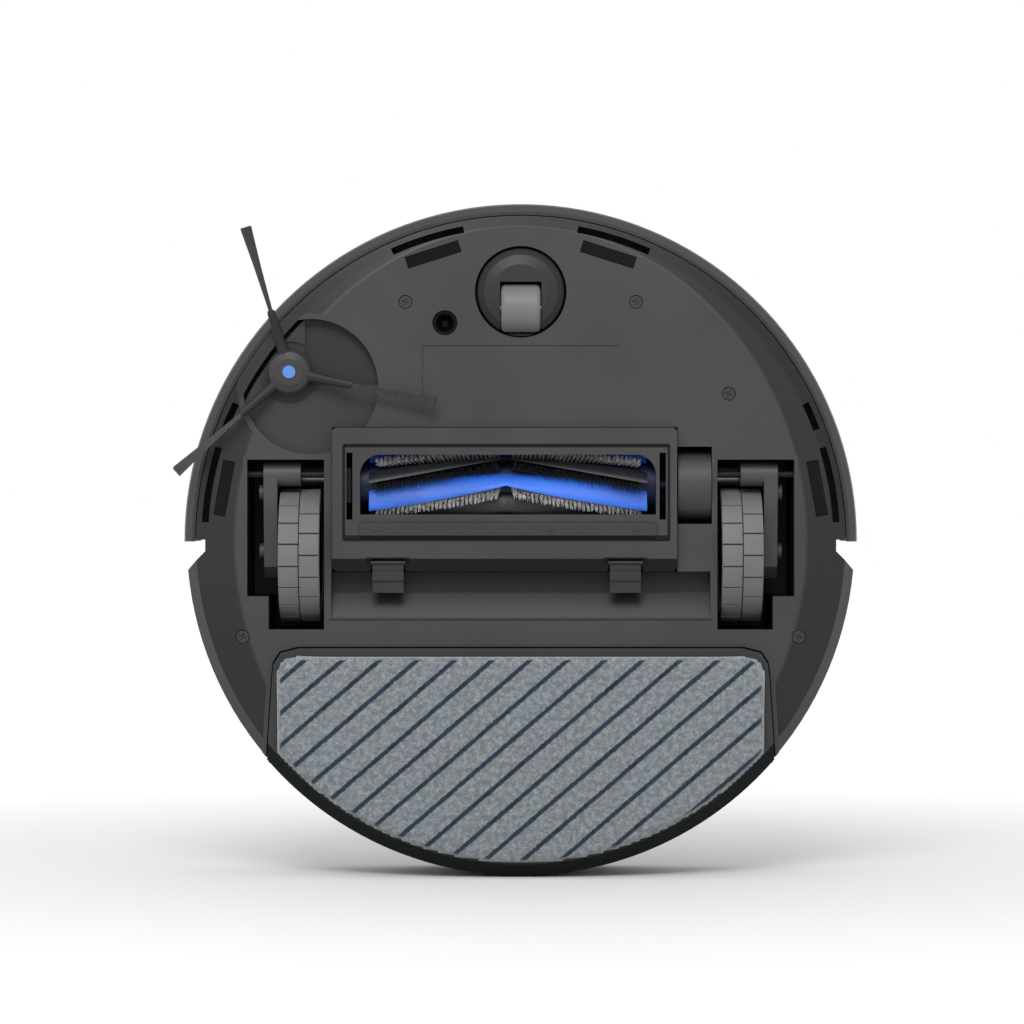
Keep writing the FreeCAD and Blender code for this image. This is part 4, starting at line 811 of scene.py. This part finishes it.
def tuft_spots(row, end, share):
    """The filaments of one tuft, a little ahead of its blade."""
    x = MIDDLE + (end - MIDDLE) * share
    slant = math.copysign(TUFT_SLANT, end - MIDDLE)
    root_at = root_angle(share) - ROOTS_AHEAD + row * PITCH
    tip_at = tip_angle(share) - TIPS_AHEAD + row * PITCH
    tuft = []
    for _ in range(TUFT_FILAMENTS):
        spread = random.uniform(-0.14, 0.14)
        root_x = x + random.uniform(-0.6, 0.6) * MM
        tip_x = x + slant + random.uniform(-0.75, 0.75) * MM
        root = roller_point(root_x, root_at + 0.3 * spread, CORE_R - 0.5 * MM)
        tip = roller_point(tip_x, tip_at + spread, REACH - random.uniform(0.2, 0.8) * MM)
        # Tufts behind a black blade are black: partly their own colour, partly painted shade.
        tuft.append((root, tip, row % 2))
    return tuft


spots = []
for row in range(BLADES):
    for end in (fin_low.x, fin_high.x):
        half = abs(end - MIDDLE)
        for number in range(int((half - TUFT_MARGIN) / TUFT_STEP)):
            spots += tuft_spots(row, end, (TUFT_START + number * TUFT_STEP) / half)
tuft_nylon = nylon("tuft_nylon", paint(176, 175, 176))
tufts = plant("roller_tufts", spots, 0.15 * MM, tuft_nylon)
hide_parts("roller_bristles")
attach(tufts, "main_roller")
print("filaments on the roller:", len(spots))

# %% [markdown]
# ## The side brush
# Three rubber sleeves hold bundles of long nylon that flick dirt out of corners. The
# sleeves are soft tapered tubes, so they are rings of points along a short path. The
# bundles leave each sleeve tight and round and open like a fan towards the tips.

# %% Directions and sizes
hub_low, hub_high = (Vector(corner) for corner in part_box("side_brush_hub"))
hub = (hub_low + hub_high) / 2
hub_r = (hub_high.x - hub_low.x) / 2
ARM_BEARINGS = [math.radians(angle) for angle in (253.5, 138.3, 11.9)]
SLEEVE_END = 33 * MM
SLEEVE_SIDES = 16
BEND = 57 * MM
SWEEP = 78 * MM
BUNDLE_FILAMENTS = 260


def arm_point(bearing, along, across, height):
    """A point beside one arm of the brush: along it, across it and above the floor."""
    out = Vector((math.cos(bearing), math.sin(bearing), 0))
    side = Vector((-out.y, out.x, 0))
    return Vector((hub.x, hub.y, 0)) + out * along + side * across + Vector((0, 0, height))


print("the brush sweeps", round(SWEEP * 1000), "mm round its screw")


# %% Rubber sleeves
def build_sleeves(bm):
    """Each row of the path is a distance, then height, half width and half thickness in mm."""
    path = [(hub_r - 3 * MM, 8.6, 3.4, 2.3), (hub_r + 1 * MM, 7.9, 2.7, 2.0),
            (20 * MM, 6.6, 2.4, 1.8), (27 * MM, 5.0, 2.3, 1.6), (31.5 * MM, 3.9, 2.1, 1.4),
            (SLEEVE_END, 3.5, 1.7, 1.1)]
    turns = [2 * math.pi * step / SLEEVE_SIDES for step in range(SLEEVE_SIDES)]
    for bearing in ARM_BEARINGS:
        rings = []
        for along, height, half_wide, half_thick in path:
            rings.append([arm_point(bearing, along, half_wide * MM * math.cos(turn),
                                    (height + half_thick * math.sin(turn)) * MM)
                          for turn in turns])
        rings_to_faces(bm, rings)


sleeve_rubber = moulded("sleeve_rubber", paint(29, 29, 31), 0.55, grain=0.0006,
                        Specular_IOR_Level=0.25)
sleeves = mesh_object("brush_sleeves", build_sleeves, sleeve_rubber)
smooth(sleeves, 60)
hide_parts("side_brush_sleeves")
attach(sleeves, "side_brush")
print("sleeves:", len(sleeves.data.polygons), "faces")

# %% Bundles of bristles
brush_nylon = nylon("brush_nylon", paint(54, 54, 56), contrast=0.1)
spots = []
for bearing in ARM_BEARINGS:
    for _ in range(BUNDLE_FILAMENTS):
        side = random.uniform(-1, 1)
        level = random.uniform(-1, 1)
        reach = SWEEP - random.uniform(0.3, 1.4) * MM
        root = arm_point(bearing, SLEEVE_END - 2 * MM, side * 0.8 * MM, (3.5 + level * 0.5) * MM)
        bend = arm_point(bearing, BEND, side * 1.7 * MM, (1.8 + level * 0.35) * MM)
        tip = arm_point(bearing, reach, side * 2.8 * MM, (1.25 + level * 0.35) * MM)
        spots += [(root, bend, 0), (bend, tip, 0)]
bundle = plant("brush_bundles", spots, 0.19 * MM, brush_nylon, taper=0.95)
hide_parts("side_brush_bristles")
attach(bundle, "side_brush")
print("filaments on the side brush:", len(spots))

# %% [markdown]
# ## The mop pad
# The pad is microfibre cloth over thin foam. It is blown up a little by the foam,
# flat where it meets the floor, and it has stiff woven stripes that scrub. A box with
# a cloth picture on it would look dead, so the pad is a closed shell that is inflated
# by the cloth solver, held close to its true outline, and then covered with pile.

# %% Outline of the pad
pad_low, pad_high = (Vector(corner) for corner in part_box("mop_pad"))
PAD_CORNER = 10 * MM
RIM_REACH = 0.2
RIM_HALVINGS = 30


def pad_margin(x, y, inset=0.0):
    """How far a point is inside the pad's outline: less than zero outside it."""
    half = pad_high.x - inset
    front = pad_low.y + inset
    arc = pad_high.y - inset
    margin = min(half - abs(x), y - front, arc - math.hypot(x, y))
    corner_x = half - PAD_CORNER
    corner_y = front + PAD_CORNER
    if abs(x) > corner_x and y < corner_y:
        margin = min(margin, PAD_CORNER - math.hypot(abs(x) - corner_x, y - corner_y))
    return margin


def pad_rim(inset, count=260):
    """Points evenly round the outline, found by walking out from the middle."""
    centre = Vector((0, (pad_low.y + pad_high.y) / 2))
    rim = []
    for step in range(count):
        angle = 2 * math.pi * step / count
        ray = Vector((math.cos(angle), math.sin(angle)))
        near, far = 0.0, RIM_REACH
        for _ in range(RIM_HALVINGS):
            middle = (near + far) / 2
            spot = centre + ray * middle
            if pad_margin(spot.x, spot.y, inset) > 0:
                near = middle
            else:
                far = middle
        rim.append(centre + ray * near)
    return rim


print("pad:", [round(value * 1000, 1) for value in (pad_high - pad_low)], "mm")

# %% [markdown]
# ## Inflating the cloth
# The starting shell is a little thinner than the real pad. The solver pushes it out
# from inside, which rounds the edges and gives the soft, uneven swelling of a padded
# textile. No gravity is needed, as the plate holds the pad, and a cap on how far any
# point may travel keeps the cloth inside the room it has.

# %% Shell, remesh, cloth
PAD_SECTION = ((0.7, 1.4), (1.0, 0.1), (2.3, -0.5), (3.6, 0.1), (3.9, 1.4))


def build_pad(bm):
    """A ring for each height and inset of the section, in mm."""
    rings = []
    for height, inset in PAD_SECTION:
        rings.append([Vector((spot.x, spot.y, height * MM)) for spot in pad_rim(inset * MM)])
    rings_to_faces(bm, rings)


def settle(piece, frames=16, pressure=4.0, travel=0.0011, voxel=0.0021):
    """Inflate a closed shell as cloth, and keep every point within `travel`."""
    remesh = piece.modifiers.new("remesh", "REMESH")
    remesh.mode = "VOXEL"
    remesh.voxel_size = voxel
    piece.data = evaluated_mesh(piece)
    piece.modifiers.clear()
    start = [vert.co.copy() for vert in piece.data.vertices]
    cloth = piece.modifiers.new("cloth", "CLOTH")
    cloth.settings.effector_weights.gravity = 0
    cloth.settings.use_pressure = True
    cloth.settings.uniform_pressure_force = pressure
    cloth.settings.mass = 0.02
    cloth.settings.tension_stiffness = 12
    cloth.settings.compression_stiffness = 8
    cloth.settings.bending_stiffness = 0.4
    for number in range(1, frames + 1):
        bpy.context.scene.frame_set(number)
    bpy.context.view_layer.update()
    evaluated = piece.evaluated_get(bpy.context.evaluated_depsgraph_get())
    moved = [vert.co.copy() for vert in evaluated.data.vertices]
    piece.modifiers.clear()
    bpy.context.scene.frame_set(1)
    for vert, before, after in zip(piece.data.vertices, start, moved):
        step = after - before
        if step.length > travel:
            step *= travel / step.length
        vert.co = before + step


pad = mesh_object("mop_cloth_pad", build_pad)
settle(pad)
print("pad:", len(pad.data.polygons), "faces")

# %% [markdown]
# ## Pile, stripes and hem
# Microfibre looks soft because thousands of loops catch the light from the side, so
# the cloth has a sheen, a fine bump and a mottled grey. The scrubbing yarn is knitted
# in slanted lines: a wave across the pad picks out each line, and a little noise
# pushes its edges about so that the stitches look worked, not printed.

# %% Cloth finish
STRIPE_SLANT = math.radians(40.7)
STRIPE_PITCH = 12.6 * MM
STRIPE_WIDTH = 2.3 * MM
STRIPE_SHIFT = 7.0 * MM
YARN_WOBBLE = 1.2 * MM
YARN_DRIFT = 0.5 * MM


def stripe_mask(finish, margin):
    """1 on the slanted lines of scrubbing yarn, which stop short of the hem."""
    wobble = finish.noise(0.0008, 2.0) - 0.5
    drift = finish.noise(0.012, 1.0) - 0.5
    across = finish.axis("X") * math.sin(STRIPE_SLANT) + finish.axis("Y") * math.cos(STRIPE_SLANT)
    across = across + wobble * YARN_WOBBLE + drift * YARN_DRIFT
    phase = ((across + STRIPE_SHIFT) / STRIPE_PITCH).fraction()
    away = (phase - 0.5).magnitude() * STRIPE_PITCH
    stripe = 1 - away.between(STRIPE_WIDTH * 0.36, STRIPE_WIDTH * 0.6)
    return stripe * margin.between(1.8 * MM, 2.8 * MM)


def mop_cloth():
    """Grey microfibre with dark yarn stripes and a paler hem."""
    finish = Finish("mop_cloth", Sheen_Weight=0.5, Sheen_Roughness=0.5, Specular_IOR_Level=0.15)
    margin = finish.node("ShaderNodeAttribute", {"attribute_name": "margin"}, output="Fac")
    stripe = stripe_mask(finish, margin)
    pile = finish.noise(0.0007, 3.0)
    mottle = finish.noise(0.0015, 2.0)
    grey = finish.blend(mottle.between(0.3, 0.7), paint(96, 102, 106), paint(124, 129, 132))
    grey = finish.blend(pile.between(0.4, 0.6) * 0.45, grey, paint(74, 79, 84))
    hem = 1 - margin.between(0.9 * MM, 1.6 * MM)
    grey = finish.blend(hem * 0.4, grey, paint(136, 138, 140))
    yarns = [(0.38, paint(12, 24, 34)), (0.5, paint(18, 44, 54)), (0.6, paint(18, 28, 52)),
             (0.7, paint(36, 38, 60))]
    yarn = finish.node("ShaderNodeValToRGB", {"stops": yarns}, {0: finish.noise(0.0035, 2.0)})
    finish.colour(finish.blend(stripe, grey, yarn))
    finish.rough(0.9 - stripe * 0.12)
    finish.bump(pile * 0.5 + mottle * 0.35 + stripe * 0.6, 0.0006)
    return finish.material


print("stripes slant by", round(math.degrees(STRIPE_SLANT)), "degrees")

# %% Dress the pad
pad_floor = pad_low.z + 0.1 * MM
pad.data.materials.clear()
pad.data.materials.append(mop_cloth())
margin = pad.data.attributes.new("margin", "FLOAT", "POINT")
for vert in pad.data.vertices:
    margin.data[vert.index].value = pad_margin(vert.co.x, vert.co.y)
    vert.co.z = min(max(vert.co.z, pad_floor), pad_high.z)
smooth(pad, 80)
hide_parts("mop_pad")
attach(pad, "mop_module")
print("pad finished")

# %% [markdown]
# ## Camera
# A long lens well away keeps the round body round. The camera looks straight at the
# underside: the robot stands on its rear edge, so "up" in the view is the robot's
# front.

# %% Camera
LENS = 140.5
CAMERA_SPOT = (-0.0045, -0.0147, -2.055)
camera_data = bpy.data.cameras.new("camera")
camera_data.lens = LENS
camera = link("camera", camera_data)
camera.location = CAMERA_SPOT
camera.rotation_euler = (math.pi, 0, 0)
bpy.context.scene.camera = camera
print("lens", round(camera_data.lens, 1), "mm, at", CAMERA_SPOT)

# %% [markdown]
# ## Floor and light
# A pale sweep makes a soft studio. The sheet the robot stands on is seen from one
# side only, so that a view from behind it is not blocked. A large soft lamp ahead of the
# robot's nose models the belly, and two weak ones at the sides lift the shadows. Broad
# lamps leave gentle gradients on the plastic instead of hard spots.

# %% Floor
BLACK = (0.0, 0.0, 0.0, 1.0)
WHITE = (1.0, 1.0, 1.0, 1.0)


def one_sided(name, colour, white_from, white_to):
    """A pale matt floor, seen from above only, that fades into the white surround."""
    finish = Finish(name, Specular_IOR_Level=0.15, Emission_Strength=1.0)
    inputs = {0: finish.place}
    distance = finish.node("ShaderNodeVectorMath", {"operation": "LENGTH"}, inputs, "Value")
    fade = distance.between(white_from, white_to)
    paper = finish.blend(finish.noise(0.15, 2.0), darker(colour, 0.99), colour)
    glow = finish.blend(fade, BLACK, WHITE)
    finish.colour(finish.blend(fade, paper, BLACK))
    finish.rough(0.7 + finish.noise(0.01) * 0.1)
    finish.feed("Emission Color", glow)
    tree = finish.tree
    clear = tree.nodes.new("ShaderNodeBsdfTransparent")
    mix = tree.nodes.new("ShaderNodeMixShader")
    side = tree.nodes.new("ShaderNodeNewGeometry")
    out = next(node for node in tree.nodes if node.type == "OUTPUT_MATERIAL")
    tree.links.new(side.outputs["Backfacing"], mix.inputs[0])
    tree.links.new(finish.shader.outputs[0], mix.inputs[1])
    tree.links.new(clear.outputs[0], mix.inputs[2])
    tree.links.new(mix.outputs[0], out.inputs[0])
    return finish.material


def sheet(name, corners, material):
    """One flat face between four corners."""
    shape = bpy.data.meshes.new(name)
    shape.from_pydata(corners, [], [(0, 1, 2, 3)])
    shape.materials.append(material)
    return link(name, shape)


SHEET_HALF = 9
stand_y = cad_box[1][1] + 0.2 * MM
corners = [(-SHEET_HALF, stand_y, -SHEET_HALF), (SHEET_HALF, stand_y, -SHEET_HALF),
           (SHEET_HALF, stand_y, SHEET_HALF), (-SHEET_HALF, stand_y, SHEET_HALF)]
floor_white = one_sided("studio_white", (0.64, 0.64, 0.64, 1.0), 0.2, 0.9)
stand = sheet("standing_floor", corners, floor_white)
print("floor normal", [round(value) for value in stand.data.polygons[0].normal])


# %% Lights
def lamp(name, place, size, power):
    """A soft rectangular lamp that looks at the robot."""
    data = bpy.data.lights.new(name, "AREA")
    data.shape = "RECTANGLE"
    data.size, data.size_y = size
    data.energy = power
    made = link(name, data)
    made.location = place
    made.rotation_euler = (-Vector(place)).to_track_quat("-Z", "Y").to_euler()


lamp("key", (-0.2, -1.3, -1.6), (1.0, 0.8), 30)
lamp("left_tent", (-1.6, -0.5, -1.2), (1.4, 1.4), 3)
lamp("right_tent", (1.6, -0.5, -1.2), (1.4, 1.4), 2)
world = bpy.data.worlds.new("studio")
world.use_nodes = True
background = world.node_tree.nodes["Background"]
background.inputs["Color"].default_value = (1, 1, 1, 1)
background.inputs["Strength"].default_value = 1.0
bpy.context.scene.world = world
print("lights set")
